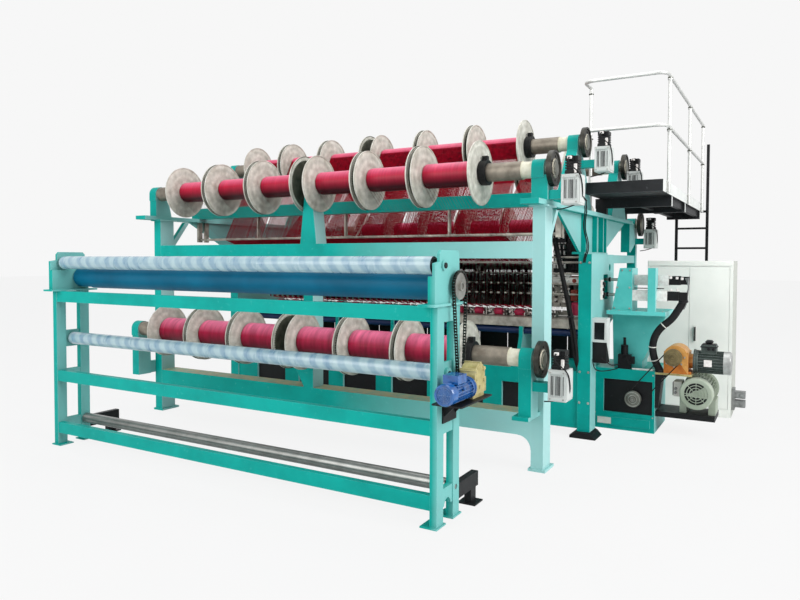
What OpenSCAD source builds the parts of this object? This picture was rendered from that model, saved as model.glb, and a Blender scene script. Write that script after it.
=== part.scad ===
// Warp knitting machine. Sectional warp beams lie over a knitting head, a take-up stand for the
// fabric stands in front, and the drive, a service platform and a cabinet are at the right end.
// X runs along the machine, Y from the take-up stand to the back, and the floor is z = 0.

/* [Take-up stand] */
// Length of the stand over its two end frames
stand_l = 3840; // [3000:20:3900]
// Height of the end frames, up to the base plates of the cheeks
stand_h = 1375; // [1300:5:1420]
// Width of an end frame's posts, along the machine
post_w = 50; // [40:5:60]
// Depth of an end frame's posts
post_d = 90; // [70:5:100]
// Distance between the front and the rear posts, centre to centre
post_pitch = 230; // [220:5:280]
// Height of a rail's section
rail_h = 95; // [70:5:110]
// Thickness of the foot plates
foot_t = 10; // [8:1:16]
// Diameter of the press roll
press_d = 114; // [90:2:140]
// Diameter of the rubber-covered take-up roll
takeup_d = 190; // [150:5:200]
// Diameter of the guide roll
guide_d = 110; // [80:5:120]
// Diameter of the batch roll near the floor
batch_d = 90; // [70:5:110]
// Diameter of the rolls' journals
roll_journal_d = 36; // [25:1:50]

/* [Chain drive] */
// Pitch of the roller chain
chain_pitch = 19.05; // [15.875:3.175:25.4]
// Teeth of the take-up roll's sprocket
big_teeth = 31; // [25:1:34]
// Teeth of the gearbox's sprocket
small_teeth = 14; // [11:1:17]
// Diameter of the chain's rollers
chain_roller_d = 11.9; // [8:0.1:12]
// Width of the sprocket's toothed disc
sprocket_t = 10; // [6:1:11]

/* [Warp beams] */
// Diameter of a sectional beam's flanges
flange_d = 530; // [460:10:560]
// Thickness of a flange at its rim
flange_t = 12; // [8:1:20]
// Width of one sectional beam over its flanges
section_w = 528; // [480:2:534]
// Sectional beams on each half of a shaft
sections_half = 3; // [2:1:3]
// Gap between two neighbouring sectional beams
pair_gap = 35; // [30:5:60]
// Gap at the middle of a shaft, round its centre bearing
centre_gap = 140; // [120:5:160]
// Diameter of the wound yarn
yarn_d = 210; // [196:2:280]
// Diameter of the wound yarn on the lower front beam
lower_yarn_d = 270; // [200:5:300]
// Diameter of a sectional beam's barrel
barrel_d = 180; // [166:2:190]
// Diameter of the beam shaft
shaft_d = 150; // [120:5:156]
// Diameter of a beam shaft's journals
journal_d = 90; // [60:5:110]
// Diameter of a beam's drive wheel
wheel_d = 280; // [240:5:290]

/* [Machine frame] */
// Width of a front leg, along the machine
leg_w = 100; // [80:5:120]
// Depth of a front leg
leg_d = 180; // [120:5:190]
// Height of the front legs, up to the side arms
leg_h = 2090; // [2000:10:2150]
// Width of a side arm's top flange
arm_w = 150; // [120:5:160]
// Thickness of a side arm's top flange
arm_t = 40; // [25:5:60]
// Height of the side walls that carry the knitting head
wall_h = 1720; // [1650:10:1760]
// Thickness of the side walls
wall_t = 120; // [90:5:120]
// Height of the lower beam's top face
low_beam_top = 450; // [420:5:480]
// Height of the lower beam's section
low_beam_h = 175; // [140:5:200]
// Height of the machine bed's top face
bed_top = 620; // [560:10:660]

/* [Drive] */
// Diameter of the main shaft's pulley
main_pulley_d = 154; // [120:2:180]
// Diameter of the worm gearbox's pulley
gear_pulley_d = 160; // [120:2:180]
// Diameter of the main motor's frame
main_motor_d = 300; // [240:10:310]
// Diameter of the worm gearbox's motor
worm_motor_d = 220; // [160:10:230]

/* [Platform] */
// Height of the platform's floor
floor_z = 2330; // [2310:10:2400]
// Length of the platform, along Y
platform_l = 3240; // [2800:20:3300]
// Width of the platform at its front
platform_w = 700; // [600:10:760]
// Height of the handrail over the floor
handrail_h = 1060; // [900:10:1200]
// Diameter of the handrail's pipe
pipe_d = 34; // [25:1:48]
// Spacing of the ladder's rungs
rung_pitch = 265; // [230:5:300]

/* [Cabinet] */
// Width of the cabinet
cabinet_w = 854; // [700:2:860]
// Depth of the cabinet
cabinet_d = 600; // [400:10:700]
// Height of the cabinet
cabinet_h = 1660; // [1400:10:1800]
// Thickness of a cabinet door
door_t = 24; // [18:1:30]

/* [Hidden] */

teal = "#12b0a5";
grey = "#a7a49a";
dark = "#26282a";
white = "#e8e8e4";
round_fn = 64;
small_fn = 32;
run_gap = 0.1;      // radial clearance of a shaft in its bore
soft_gap = 0.4;     // clearance of a wound or soft piece to what holds it

// The take-up stand. Its x values are taken from the stand's own centre.
stand_x = 60;
stand_y = -2365;
stand_out = stand_l / 2;
front_post_y = stand_y - post_pitch / 2;
rear_post_y = stand_y + post_pitch / 2;
front_face_y = front_post_y - post_d / 2;
base_plate_t = 15;
cheek_z = stand_h + base_plate_t;
cheek_t = 50;
lug_t = 20;
lug_z = cheek_z + 170;
cheek_top = cheek_z + 332;
takeup_y = stand_y + 85;
takeup_z = cheek_z + takeup_d / 2 + 10;
press_y = takeup_y - 170;
press_z = takeup_z + 132;
guide_y = stand_y - 5;
guide_z = 945;
batch_z = 192;
end_gap = 8;        // end of a roll to the cheek beside it
roll_half = stand_out - cheek_t - end_gap;
bare_end = 200;

// The chain drive at the stand's right end
chain_x = stand_x + stand_out + 35;
motor_x = chain_x + 85;
worm_offset = 63;
worm_z = 870;
gear_y = stand_y + 100;
gear_z = worm_z + worm_offset;
gear_case = [100, 190, 200];
big_r = chain_pitch / 2 / sin(180 / big_teeth);
small_r = chain_pitch / 2 / sin(180 / small_teeth);
shelf_z = worm_z - 84;

// The machine frame
frame_right = 2135;
frame_left = -2175;
leg_front = -1100;
leg_back = leg_front + leg_d;
arm_right = frame_right - 20;
arm_left = frame_left - 65;
arm_front = -1270;
arm_back = 2200;
arm_top = leg_h + arm_t;
wall_front = 100;
wall_back = 1000;
wall_right = 2180;
wall_left = -2200;
inner_right = wall_right - wall_t / 2;
inner_left = wall_left + wall_t / 2;
tie_z = [1675, 1810];
tie_d = 100;
low_beam_d = 200;
post_half = 55;
horn_half = 95;

// The warp beams: [axis y, axis z, middle x, shift of the drive end, let-off unit's x]
UF = [-1020, 2375, -109, 0, 2308];
UM = [200, 2765, -155, -75, 2250];
UR = [1550, 2690, -120, 0, 2262];
LR = [2500, 2100, -110, 0, 2275];
LF = [-1270, 915, UF[2], 0, 2300];
post_x = UF[2];
BEAMS = [UF, UM, UR, LR, LF];
bearing_right = 2117;
bearing_left = -2250;
bearing_w = 100;
head_r = journal_d / 2 + 35;
wheel_gap = 35;
wheel_t = 40;
unit_w = 135;
unit_d = 170;
unit_h = 230;
servo_h = 140;
unit_drop = 60;
plate_t = 30;

// The knitting head
knit_y = 650;
rail_top = 1090;
rod_front_z = 1327;
rod_rear_z = 1472;
rod_r = 14;
bar_t = 30;
bar_front_y = knit_y - 45;
bar_rear_y = knit_y + 45;
bar_left = inner_left + 120;
bar_right = inner_right - 60;

swing_y = knit_y + 170;
swing_z = 1590;
down_y = 330;
down_z = 955;
down_d = 70;
net_y = 300;
sheet_t = 3;
return_y = -400;
return_z = 1890;
return_r = 12;
lease_r = 10;
net_top = 1640;
net_low = 1290;
guide_tip = 1185;
hanger_z = 1505;
stand_xs = [-1500, -750, 0, 750, 1500];
hanger_xs = [-1700, -850, 0, 850, 1700];
hanger_mid = [for (k = [-2, 0, 2]) (UF[2] + UM[2]) / 2 + sign(k) * (centre_gap / 2 + 2 * section_w + 1.5 * pair_gap)];
return_rods = [[return_y - 50, return_z], [return_y + 50, return_z]];
net_back = net_y + 2 * lease_r + sheet_t + 2 * soft_gap;
lease_rods = [[net_y, net_top], [net_back, 1530], [net_back, 1430], [net_back, 1330],
    [net_y + 110, 1690]];
lead_w = 72;
lead_pitch = 81;
lead_x = [for (x = [bar_left + 20:lead_pitch:bar_right - lead_w - 20]) x];

// The right end
base_x = [inner_right + 20, 2726];
base_y = [600, 1240];
base_top = 600;
belt_y = 550;
main_shaft_x = 2536;
main_shaft_z = 326;
worm_shaft_x = 2893;
worm_shaft_z = 753;
belt_h = 11;
belt_w = 16;
belt_clear = 0.9;   // the flat chords of the belt stay outside the grooves' round floor
shelf_top = 594;
house_x = [2287, 2826];
house_y = [500, 1020];
house_z = 1178;
actuator_w = 90;
actuator_end = 2830;
cast_right = 2515;

// The platform and the cabinet
platform_x = 2100;
platform_y = 400;
platform_out = platform_x + platform_w;
platform_end = platform_y + platform_l;
clear_x = 2200;
ladder_y = platform_end + 10;
ladder_x = [2472, 2852];
stile_w = 34;
cabinet_x = 2457;
cabinet_y = 1680;
socket_w = 130;
door_gap = 3;
plinth_h = 90;
door_mid = cabinet_x + 0.506 * cabinet_w;
door_z = [plinth_h + door_gap, cabinet_h - 60 - door_gap];
pin_r = 4;
pin_in = 6;
pin_x = [cabinet_x + 38 + door_gap, cabinet_x + cabinet_w - 38 - door_gap];

// Middle of the footprint, which is brought to the origin
footprint_left = bearing_left - bearing_w / 2 - 20;
footprint_right = cabinet_x + cabinet_w + socket_w;
motor_front = gear_y - gear_case[1] / 2 - 320;
mid_x = (footprint_left + footprint_right) / 2;
mid_y = (motor_front + ladder_y + 40) / 2;

function span(c, w) = [c - w / 2, c + w / 2];

// Point at length s on a loop round circle R at a and circle r at b, with its heading
function loop_lean(a, R, b, r) = asin((R - r) / norm(b - a));
function loop_run(a, R, b, r) = sqrt(pow(norm(b - a), 2) - pow(R - r, 2));
function loop_angle(a, b) = atan2(b[1] - a[1], b[0] - a[0]);
function loop_len(a, R, b, r) = 2 * loop_run(a, R, b, r)
    + (PI + loop_lean(a, R, b, r) * PI / 90) * R + (PI - loop_lean(a, R, b, r) * PI / 90) * r;
function on_circle(c, r, t) = c + r * [cos(t), sin(t)];
function loop_point(s, a, R, b, r) =
    let (lean = loop_lean(a, R, b, r), run = loop_run(a, R, b, r), f = loop_angle(a, b),
        t1 = f + 90 - lean, t2 = f - 90 + lean,
        w1 = (180 + 2 * lean) * PI / 180 * R, w2 = (180 - 2 * lean) * PI / 180 * r)
    s < w1 ? on_circle(a, R, t1 + s / R * 180 / PI)
    : s < w1 + run ? on_circle(a, R, t2) + (s - w1) / run * (on_circle(b, r, t2) - on_circle(a, R, t2))
    : s < w1 + run + w2 ? on_circle(b, r, t2 + (s - w1 - run) / r * 180 / PI)
    : on_circle(b, r, t1) + (s - w1 - run - w2) / run * (on_circle(a, R, t1) - on_circle(b, r, t1));

// Brings the model's own frame to the middle of its footprint
module placed() translate([-mid_x, -mid_y, 0]) children();

module bar(x, y, z) translate([x[0], y[0], z[0]]) cube([x[1] - x[0], y[1] - y[0], z[1] - z[0]]);

// Cylinders along X, Y and Z, from one end to the other
module xrod(x, y, z, r, fn = small_fn)
    translate([x[0], y, z]) rotate([0, 90, 0]) cylinder(h = x[1] - x[0], r = r, $fn = fn);
module yrod(x, y, z, r, fn = small_fn)
    translate([x, y[1], z]) rotate([90, 0, 0]) cylinder(h = y[1] - y[0], r = r, $fn = fn);
module zrod(x, y, z, r, fn = small_fn)
    translate([x, y, z[0]]) cylinder(h = z[1] - z[0], r = r, $fn = fn);

// A flat outline in the YZ plane, as thick as the span x; and one in the XZ plane
module yz_plate(points, x)
    translate([x[0], 0, 0]) rotate([90, 0, 90]) linear_extrude(x[1] - x[0]) polygon(points);
module xz_plate(points, y)
    translate([0, y[1], 0]) rotate([90, 0, 0]) linear_extrude(y[1] - y[0]) polygon(points);

// A turned piece whose profile is a list of [x, radius]
module turned(profile, y, z, fn = round_fn)
    translate([0, y, z]) rotate([0, 90, 0]) rotate_extrude($fn = fn)
        polygon([for (p = profile) [p[1], p[0]]]);

module both_ends() for (m = [0, 1]) translate([stand_x, 0, 0]) mirror([m, 0, 0]) children();

// ---- Take-up stand ----

module stand_end() {
    gap = [front_post_y + post_d / 2, rear_post_y - post_d / 2];
    web = [stand_out - post_w + 5, stand_out - 5];
    difference() {
        for (y = [front_post_y, rear_post_y])
            bar([stand_out - post_w, stand_out], span(y, post_d), [foot_t, stand_h]);
        xrod([stand_out - post_w - 1, stand_out + 1], rear_post_y, batch_z, roll_journal_d / 2 + run_gap);
    }
    for (z = [stand_h - rail_h - 6, 574]) bar(web, gap, [z, z + rail_h]);
    difference() {
        bar(web, gap, [110, 225]);
        xrod([web[0] - 1, web[1] + 1], stand_y, 110, 45);
    }
    for (y = [front_post_y, rear_post_y])
        bar([stand_out - post_w - 60, stand_out + 10], span(y, post_d + 40), [0, foot_t]);
}

module stand_frame() color(teal) placed() {
    both_ends() stand_end();
    inside = [stand_x - stand_out + post_w, stand_x + stand_out - post_w];
    for (z = [stand_h - rail_h, 574, 108]) bar(inside, [front_face_y + 5, front_face_y + 55], [z, z + rail_h]);
}

// A bearing plate, thick below for the take-up roll and thin above for the press roll
module cheek() {
    y0 = stand_y - 195;
    y1 = stand_y + 160;
    low = [[y0, cheek_z], [y1, cheek_z], [y1 - 10, lug_z], [y0, lug_z]];
    high = [[y0, lug_z], [y1 - 10, lug_z], [y1 - 14, cheek_top - 22], [y1 - 35, cheek_top],
        [y0 + 85, cheek_top], [y0 + 64, cheek_top - 22], [y0 + 64, cheek_top - 72], [y0, cheek_top - 82]];
    difference() {
        union() {
            yz_plate(low, [stand_out - cheek_t, stand_out]);
            yz_plate(high, [stand_out - lug_t, stand_out]);
            xrod([stand_out, stand_out + 14], press_y, press_z, roll_journal_d / 2 + 12);
            xrod([stand_out, stand_out + 20], takeup_y, takeup_z, roll_journal_d / 2 + 30);
        }
        for (p = [[press_y, press_z], [takeup_y, takeup_z]])
            xrod([stand_out - cheek_t - 1, stand_out + 30], p[0], p[1], roll_journal_d / 2 + run_gap);
    }
    bar([stand_out - 100, stand_out + 20], [stand_y - 235, stand_y + 215], [stand_h, cheek_z]);
}

module guide_plate() difference() {
    union() {
        bar([stand_out - 35, stand_out - 15], [front_post_y + post_d / 2, rear_post_y - post_d / 2],
            span(guide_z, 150));
        xrod([stand_out - 15, stand_out + 6], guide_y, guide_z, roll_journal_d / 2 + 20);
    }
    xrod([stand_out - 36, stand_out + 7], guide_y, guide_z, roll_journal_d / 2 + run_gap);
}

module roll_cheeks() color(teal) placed() {
    both_ends() cheek();
    both_ends() guide_plate();
}

// A black arm with its foot behind each end frame, and the angle that carries the gearbox
module stand_brackets() color(dark) placed() {
    back = rear_post_y + post_d / 2;
    both_ends() {
        bar([stand_out - post_w, stand_out], [back, back + 315], [100, 200]);
        bar([stand_out - post_w, stand_out], [back + 195, back + 275], [foot_t, 100]);
        bar([stand_out - post_w - 40, stand_out + 40], [back + 170, back + 305], [0, foot_t]);
    }
    out = stand_x + stand_out;
    bar([out, out + 10], [front_post_y + 20, rear_post_y - 20], [shelf_z - 140, shelf_z]);
    bar([out, out + 200], [gear_y - 335, gear_y + 125], [shelf_z, shelf_z + 10]);
    for (y = [front_post_y + 30, rear_post_y - 40])
        xz_plate([[out + 10, shelf_z - 100], [out + 10, shelf_z], [out + 110, shelf_z]], [y, y + 10]);
}

// A roll between the cheeks, with a journal out past each end
module roll(d, y, z, left_out, right_out, half = roll_half) {
    j = roll_journal_d / 2;
    r = d / 2;
    turned([[-left_out, 0], [-left_out, j], [-half, j], [-half, r - 14], [-half + 6, r - 8],
        [-half + 6, r], [half - 6, r], [half - 6, r - 8], [half, r - 14], [half, j],
        [right_out, j], [right_out, 0]], y, z);
}

module press_roll() color("#dfe8ee") placed() translate([stand_x, 0, 0])
    roll(press_d, press_y, press_z, stand_out + 22, stand_out + 22);

module takeup_roll() color("#14709c") placed() translate([stand_x, 0, 0]) difference() {
    roll(takeup_d, takeup_y, takeup_z, stand_out + 22, stand_out + 48);
    difference() {
        xrod([-roll_half - 1, -roll_half + bare_end], takeup_y, takeup_z, takeup_d, round_fn);
        xrod([-roll_half - 2, -roll_half + bare_end + 1], takeup_y, takeup_z, takeup_d / 2 - 8, round_fn);
    }
}

module guide_roll() color("#b9d6e2") placed() translate([stand_x, 0, 0])
    roll(guide_d, guide_y, guide_z, stand_out + 12, stand_out + 12);

module batch_roll() color("#b4b4ae") placed() translate([stand_x, 0, 0])
    roll(batch_d, rear_post_y, batch_z, stand_out - 4, stand_out - 4, stand_out - post_w - end_gap);

// The tips stay just inside the rollers' path, so that the wheel turns inside the chain
module sprocket(teeth, hub_r, hub_l, bore) {
    pr = chain_pitch / 2 / sin(180 / teeth);
    tip = pr - chain_roller_d / 2 - soft_gap;
    translate([chain_x, 0, 0]) rotate([90, 0, 90]) difference() {
        union() {
            translate([0, 0, -sprocket_t / 2]) linear_extrude(sprocket_t) difference() {
                circle(r = tip, $fn = round_fn);
                for (i = [0:teeth - 1]) rotate(i * 360 / teeth)
                    translate([pr, 0]) circle(r = chain_roller_d * 0.75, $fn = small_fn);
            }
            translate([0, 0, -sprocket_t / 2 - 6]) cylinder(h = hub_l, r = hub_r, $fn = small_fn);
        }
        translate([0, 0, -60]) cylinder(h = 120, r = bore, $fn = small_fn);
    }
}

module drive_sprocket() color("#8f918c") placed() translate([0, takeup_y, takeup_z])
    sprocket(big_teeth, roll_journal_d / 2 + 14, 30, roll_journal_d / 2 + run_gap);

module gearbox_sprocket() color("#8f918c") placed() translate([0, gear_y, gear_z]) {
    sprocket(small_teeth, 26, 22, 15 + run_gap);
    xrod([chain_x - 10, motor_x - gear_case[0] / 2 + 20], 0, 0, 15);
}

// Plates of one link, pins with rollers at each end; every second link is the narrow one
module chain_plate(p, q, x) {
    d = q - p;
    translate([x, p[0], p[1]]) rotate([atan2(d[1], d[0]), 0, 0]) rotate([90, 0, 90])
        linear_extrude(1.8) union() {
            circle(r = chain_pitch * 0.42, $fn = 24);
            translate([norm(d), 0]) circle(r = chain_pitch * 0.42, $fn = 24);
            translate([0, -chain_pitch * 0.36]) square([norm(d), chain_pitch * 0.72]);
        }
}

module roller_chain() color("#3a3a38") placed() {
    a = [takeup_y, takeup_z];
    b = [gear_y, gear_z];
    len = loop_len(a, big_r, b, small_r);
    n = 2 * round(len / chain_pitch / 2);
    pins = [for (i = [0:n]) loop_point((i % n) * len / n, a, big_r, b, small_r)];
    for (i = [0:n - 1]) {
        off = i % 2 == 0 ? 8.2 : 6.2;
        for (s = [-off - 1.8, off]) chain_plate(pins[i], pins[i + 1], chain_x + s);
        xrod([chain_x - 11, chain_x + 11], pins[i][0], pins[i][1], 2.9, 24);
        xrod([chain_x - 6, chain_x + 6], pins[i][0], pins[i][1], chain_roller_d / 2, 24);
    }
}

// An induction motor along +Y from its fan cowl at the origin: cowl, finned frame, end flange
module y_motor(r, l, fins) {
    rotate([-90, 0, 0]) rotate_extrude($fn = round_fn)
        polygon([[0, 6], [r * 0.72, 6], [r * 0.72, 0], [r * 0.9, 0], [r * 0.98, 10], [r * 0.98, 0.2 * l],
            [r * 0.8, 0.2 * l], [r * 0.8, l - 40], [r * 0.99, l - 40], [r * 0.99, l - 14],
            [r * 1.05, l - 14], [r * 1.05, l], [0, l]]);
    translate([0, l - 39, 0]) rotate([90, 0, 0]) linear_extrude(0.8 * l - 38) difference() {
        for (i = [0:fins - 1]) rotate((i + 0.5) * 360 / fins) translate([0, -1.5]) square([r * 0.97, 3]);
        circle(r = r * 0.78, $fn = round_fn);
    }
}

module takeup_motor() color("#2a5ea8") placed() {
    l = 320;
    r = 68;
    back = gear_y - gear_case[1] / 2;
    translate([motor_x, back - l, worm_z]) y_motor(r, l, 20);
    bar(span(motor_x, 100), [back - 230, back - 110], [worm_z + r * 0.8, worm_z + r + 38]);
}

module takeup_gearbox() color("#e3d39a") placed() {
    x = span(motor_x, gear_case[0]);
    y = span(gear_y, gear_case[1]);
    difference() {
        union() {
            bar(x, y, [worm_z - 45, worm_z + 45]);
            xrod(x, gear_y, gear_z, 78, round_fn);
            bar([x[0] + 10, x[1] - 10], [y[0] + 10, y[1] - 10], [shelf_z + 10, worm_z - 45]);
            xrod([x[0] - 12, x[0]], gear_y, gear_z, 42, round_fn);
            for (t = [0:60:300]) rotate_about_gear(t) bar([x[0] - 6, x[1] + 6], [-9, 9], [58, 86]);
        }
        xrod([x[0] - 13, x[0] + 21], gear_y, gear_z, 15 + run_gap);
    }
}

module rotate_about_gear(t) translate([0, gear_y, gear_z]) rotate([t, 0, 0]) children();

// ---- Machine frame ----

module front_legs() color(teal) placed() for (x = [frame_left, frame_right]) {
    bar(span(x, leg_w), [leg_front, leg_back], [20, leg_h - 12]);
    bar(span(x, leg_w + 50), [leg_front - 25, leg_back + 25], [leg_h - 12, leg_h]);
    bar(span(x, leg_w + 40), [leg_front - 10, leg_back + 40], [0, 20]);
    yz_plate([[leg_back, 1760], [leg_back + 250, leg_h - 12], [leg_back + 190, leg_h - 12], [leg_back, 1840]],
        span(x, 50));
}

module gusset(x, dir) difference() {
    bar(dir > 0 ? [x, x + 110] : [x - 110, x], [leg_front, leg_front + 20],
        [low_beam_top - low_beam_h - 110, low_beam_top - low_beam_h]);
    yrod(x + dir * 110, [leg_front - 1, leg_front + 21], low_beam_top - low_beam_h - 110, 108, round_fn);
}

module front_cross_beams() color(teal) placed() {
    x0 = frame_left + leg_w / 2;
    x1 = frame_right - leg_w / 2;
    tie_y = [leg_front, leg_front + tie_d];
    bar([x0, post_x - horn_half], tie_y, tie_z);
    bar([post_x + horn_half, x1], tie_y, tie_z);
    bar([x0, x1], [leg_front, leg_front + low_beam_d], [low_beam_top - low_beam_h, low_beam_top]);
    gusset(x0, 1);
    gusset(x1, -1);
    // Centre post: it widens at the tie beam and tapers to the upper front beam's bearing
    horn_top = UF[1] - head_r + 20;
    horn_t = span(0, 0.55 * centre_gap);
    translate([post_x, 0, 0]) difference() {
        union() {
            xz_plate([[-post_half, low_beam_top], [post_half, low_beam_top], [post_half, tie_z[0]],
                [horn_half, tie_z[0]], [horn_half, tie_z[1]], [horn_t[1], horn_top],
                [horn_t[0], horn_top], [-horn_half, tie_z[1]], [-horn_half, tie_z[0]],
                [-post_half, tie_z[0]], [-post_half, low_beam_top + 190],
                [-post_half - 110, low_beam_top + 190]], [leg_front, 2 * UF[0] - leg_front]);
            xrod(horn_t, UF[0], UF[1], shaft_d / 2 + 22, round_fn);
        }
        xrod(span(0, 300), UF[0], UF[1], shaft_d / 2 + run_gap, round_fn);
    }
}

module yarn_tie_beam() color(teal) placed()
    bar([arm_left - 50, arm_right + 50], [-500, -400], [arm_top, arm_top + 120]);

// A top flange on a web that tapers down to the side wall, with ribs on its outer face
module side_arm(x, out) {
    web_top = [-600, 2015];
    web = [[web_top[0], leg_h], [web_top[1], leg_h], [wall_back, wall_h + 20], [wall_front, wall_h + 20]];
    bar(span(x, arm_w), [arm_front, arm_back], [leg_h, arm_top]);
    yz_plate(web, span(x, 24));
    bar(span(x, arm_w - 30), [wall_front, wall_back], [wall_h, wall_h + 20]);
    for (y = [wall_front + 40, knit_y - 100, knit_y + 150, wall_back - 60])
        bar(out > 0 ? [x + 12, x + arm_w / 2 - 15] : [x - arm_w / 2 + 15, x - 12], [y, y + 20],
            [wall_h + 20, leg_h]);
}

module side_arms() color(teal) placed() {
    side_arm(arm_right, 1);
    side_arm(arm_left, -1);
}

// A plate that is broad above for the knitting head and narrow below, with a slot for the rods
module side_wall(x) difference() {
    yz_plate([[wall_front, 60], [wall_front + 200, 60], [wall_front + 200, 860], [wall_back, 1060],
        [wall_back, wall_h], [wall_front, wall_h]], span(x, wall_t));
    bar(span(x, wall_t + 10), [knit_y - 90, knit_y + 90], [rod_front_z - 50, rod_rear_z + 50]);
    xrod(span(x, wall_t + 10), swing_y, swing_z, 35 + run_gap);
    xrod(span(x, wall_t + 10), down_y, down_z, 15 + run_gap);
}

module side_walls() color(teal) placed() for (x = [wall_left, wall_right]) side_wall(x);

// The columns under the low rear beam's bearings, linked to the side walls
column_y = [2490, 2578];
column_top = 1880;

module rear_columns() color(teal) placed() for (x = [arm_left, arm_right]) {
    bar(span(x, 100), column_y, [20, column_top]);
    bar(span(x, 160), [column_y[0] - 30, column_y[1] + 30], [0, 20]);
    bar(span(x, 80), [wall_back, column_y[0]], [wall_h - 90, wall_h]);
}

// Box bed with a row of windows in its front wall
window_n = 6;
window_w = 440;
window_pitch = 640;
bed_front = wall_front + 20;
bed_z0 = 80;
window_z = [140, 460];

module machine_bed() color(teal) placed() {
    difference() {
        bar([inner_left, inner_right], [bed_front, wall_back - 50], [bed_z0, bed_top]);
        for (i = [0:window_n - 1])
            bar(span((i - (window_n - 1) / 2) * window_pitch - 20, window_w), [bed_front - 1, bed_front + 40],
                window_z);
    }
    for (x = stand_xs) difference() {
        yz_plate([[bed_front + 40, bed_top], [wall_back - 100, bed_top], [knit_y + 120, rail_top - 90],
            [down_y - 60, rail_top - 90], [down_y - 60, down_z - 60]], span(x, 40));
        xrod(span(x, 50), down_y, down_z, down_d / 2 + 6);
    }
}

module black_panels() color(dark) placed() {
    for (i = [0:window_n - 1])
        bar(span((i - (window_n - 1) / 2) * window_pitch - 20, window_w - 8), [bed_front + 28, bed_front + 40],
            [window_z[0] + 4, window_z[1] - 4]);
    difference() {
        bar([2250, 2702], [base_y[0] + 12, base_y[0] + 20], [174, 492]);
        yrod(main_shaft_x, [base_y[0], base_y[0] + 30], main_shaft_z, 32);
    }
}

// Screw feet under the bed, a wedge foot under each side wall, and pads below the base box
module levelling_feet() color(dark) placed() {
    for (x = [-1700, -850, 0, 850, 1700], y = [bed_front + 100, wall_back - 150]) {
        zrod(x, y, [0, 25], 70);
        zrod(x, y, [25, bed_z0], 24);
    }
    for (x = [wall_left, wall_right])
        xz_plate([[x - 120, 0], [x + 120, 0], [x + 80, 45], [x + 50, 60], [x - 50, 60], [x - 120, 25]],
            [wall_front - 40, wall_front + 220]);
}

// ---- Warp beams ----

function wheel_x(b) = bearing_right + b[3] + bearing_w / 2 + wheel_gap;
function section_x(i) = i < sections_half
    ? centre_gap / 2 + i * (section_w + pair_gap)
    : -centre_gap / 2 - section_w - (i - sections_half) * (section_w + pair_gap);
beam_half = centre_gap / 2 + sections_half * section_w + (sections_half - 1) * pair_gap;

// One sectional beam: two flanges, thicker at their hubs, on a barrel that slides on the shaft
module spool() {
    b = shaft_d / 2 + run_gap;
    f = flange_d / 2;
    turned([[0, b], [0, f - 40], [3, f - 30], [3, f - 6], [0, f - 6], [0, f], [flange_t, f],
        [flange_t, f - 8], [flange_t * 0.6, f - 12], [flange_t * 1.8, barrel_d / 2 + 4],
        [flange_t * 1.8 + 4, barrel_d / 2], [section_w - flange_t * 1.8 - 4, barrel_d / 2],
        [section_w - flange_t * 1.8, barrel_d / 2 + 4], [section_w - flange_t * 0.6, f - 12],
        [section_w - flange_t, f - 8], [section_w - flange_t, f], [section_w, f], [section_w, f - 6],
        [section_w - 3, f - 6], [section_w - 3, f - 30], [section_w, f - 40], [section_w, b]], 0, 0);
}

module clamp_ring(x) difference() {
    union() {
        xrod([x, x + 60], 0, 0, shaft_d / 2 + 28, round_fn);
        bar([x + 8, x + 52], [-22, 22], [shaft_d / 2 + 10, shaft_d / 2 + 62]);
    }
    xrod([x - 1, x + 61], 0, 0, shaft_d / 2 + run_gap, round_fn);
}

module drive_wheel(x) {
    r = wheel_d / 2;
    difference() {
        turned([[x, journal_d / 2 + run_gap], [x, 70], [x + 8, 78], [x + 8, r - 22], [x, r - 16], [x, r],
            [x + wheel_t, r], [x + wheel_t, r - 16], [x + wheel_t - 8, r - 22], [x + wheel_t - 8, 78],
            [x + wheel_t, 70], [x + wheel_t, journal_d / 2 + run_gap]], 0, 0);
        for (t = [0:60:300]) rotate([t, 0, 0]) xrod([x - 1, x + wheel_t + 1], 0, 93, 11, 24);
    }
}

module warp_beam(b) placed() translate([0, b[0], b[1]]) {
    s = shaft_d / 2;
    j = journal_d / 2;
    left = bearing_left + bearing_w / 2;
    right = bearing_right + b[3] - bearing_w / 2;
    tail = wheel_x(b) + wheel_t + 4;
    color(grey) turned([[left - bearing_w - 20, 0], [left - bearing_w - 20, j], [left + 4, j], [left + 4, s],
        [right - 92, s], [right - 92, s - 8], [right - 4, s - 8], [right - 4, j], [tail, j], [tail, 0]], 0, 0);
    color(grey) for (i = [0:2 * sections_half - 1]) translate([b[2] + section_x(i), 0, 0]) spool();
    color(dark) clamp_ring(b[2] + beam_half + 6);
    color(dark) clamp_ring(b[2] - beam_half - 66);
    color(dark) drive_wheel(wheel_x(b));
}

// The yarn on one shaft: a ring on each barrel, a little fuller at its middle
module yarn_rings(b, d) color("#c02650") placed() translate([0, b[0], b[1]])
    for (i = [0:2 * sections_half - 1]) translate([b[2] + section_x(i), 0, 0]) {
        r0 = barrel_d / 2 + soft_gap;
        r1 = d / 2;
        reach = flange_t * 1.8 * (flange_d / 2 - r1) / (flange_d / 2 - barrel_d / 2);
        e = max(reach, flange_t) + 6;
        turned([[flange_t * 1.8 + 4, r0], [e + 2, r1 - 4], [e + 14, r1], [section_w - e - 14, r1],
            [section_w - e - 2, r1 - 4], [section_w - flange_t * 1.8 - 4, r0]], 0, 0);
    }

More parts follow.
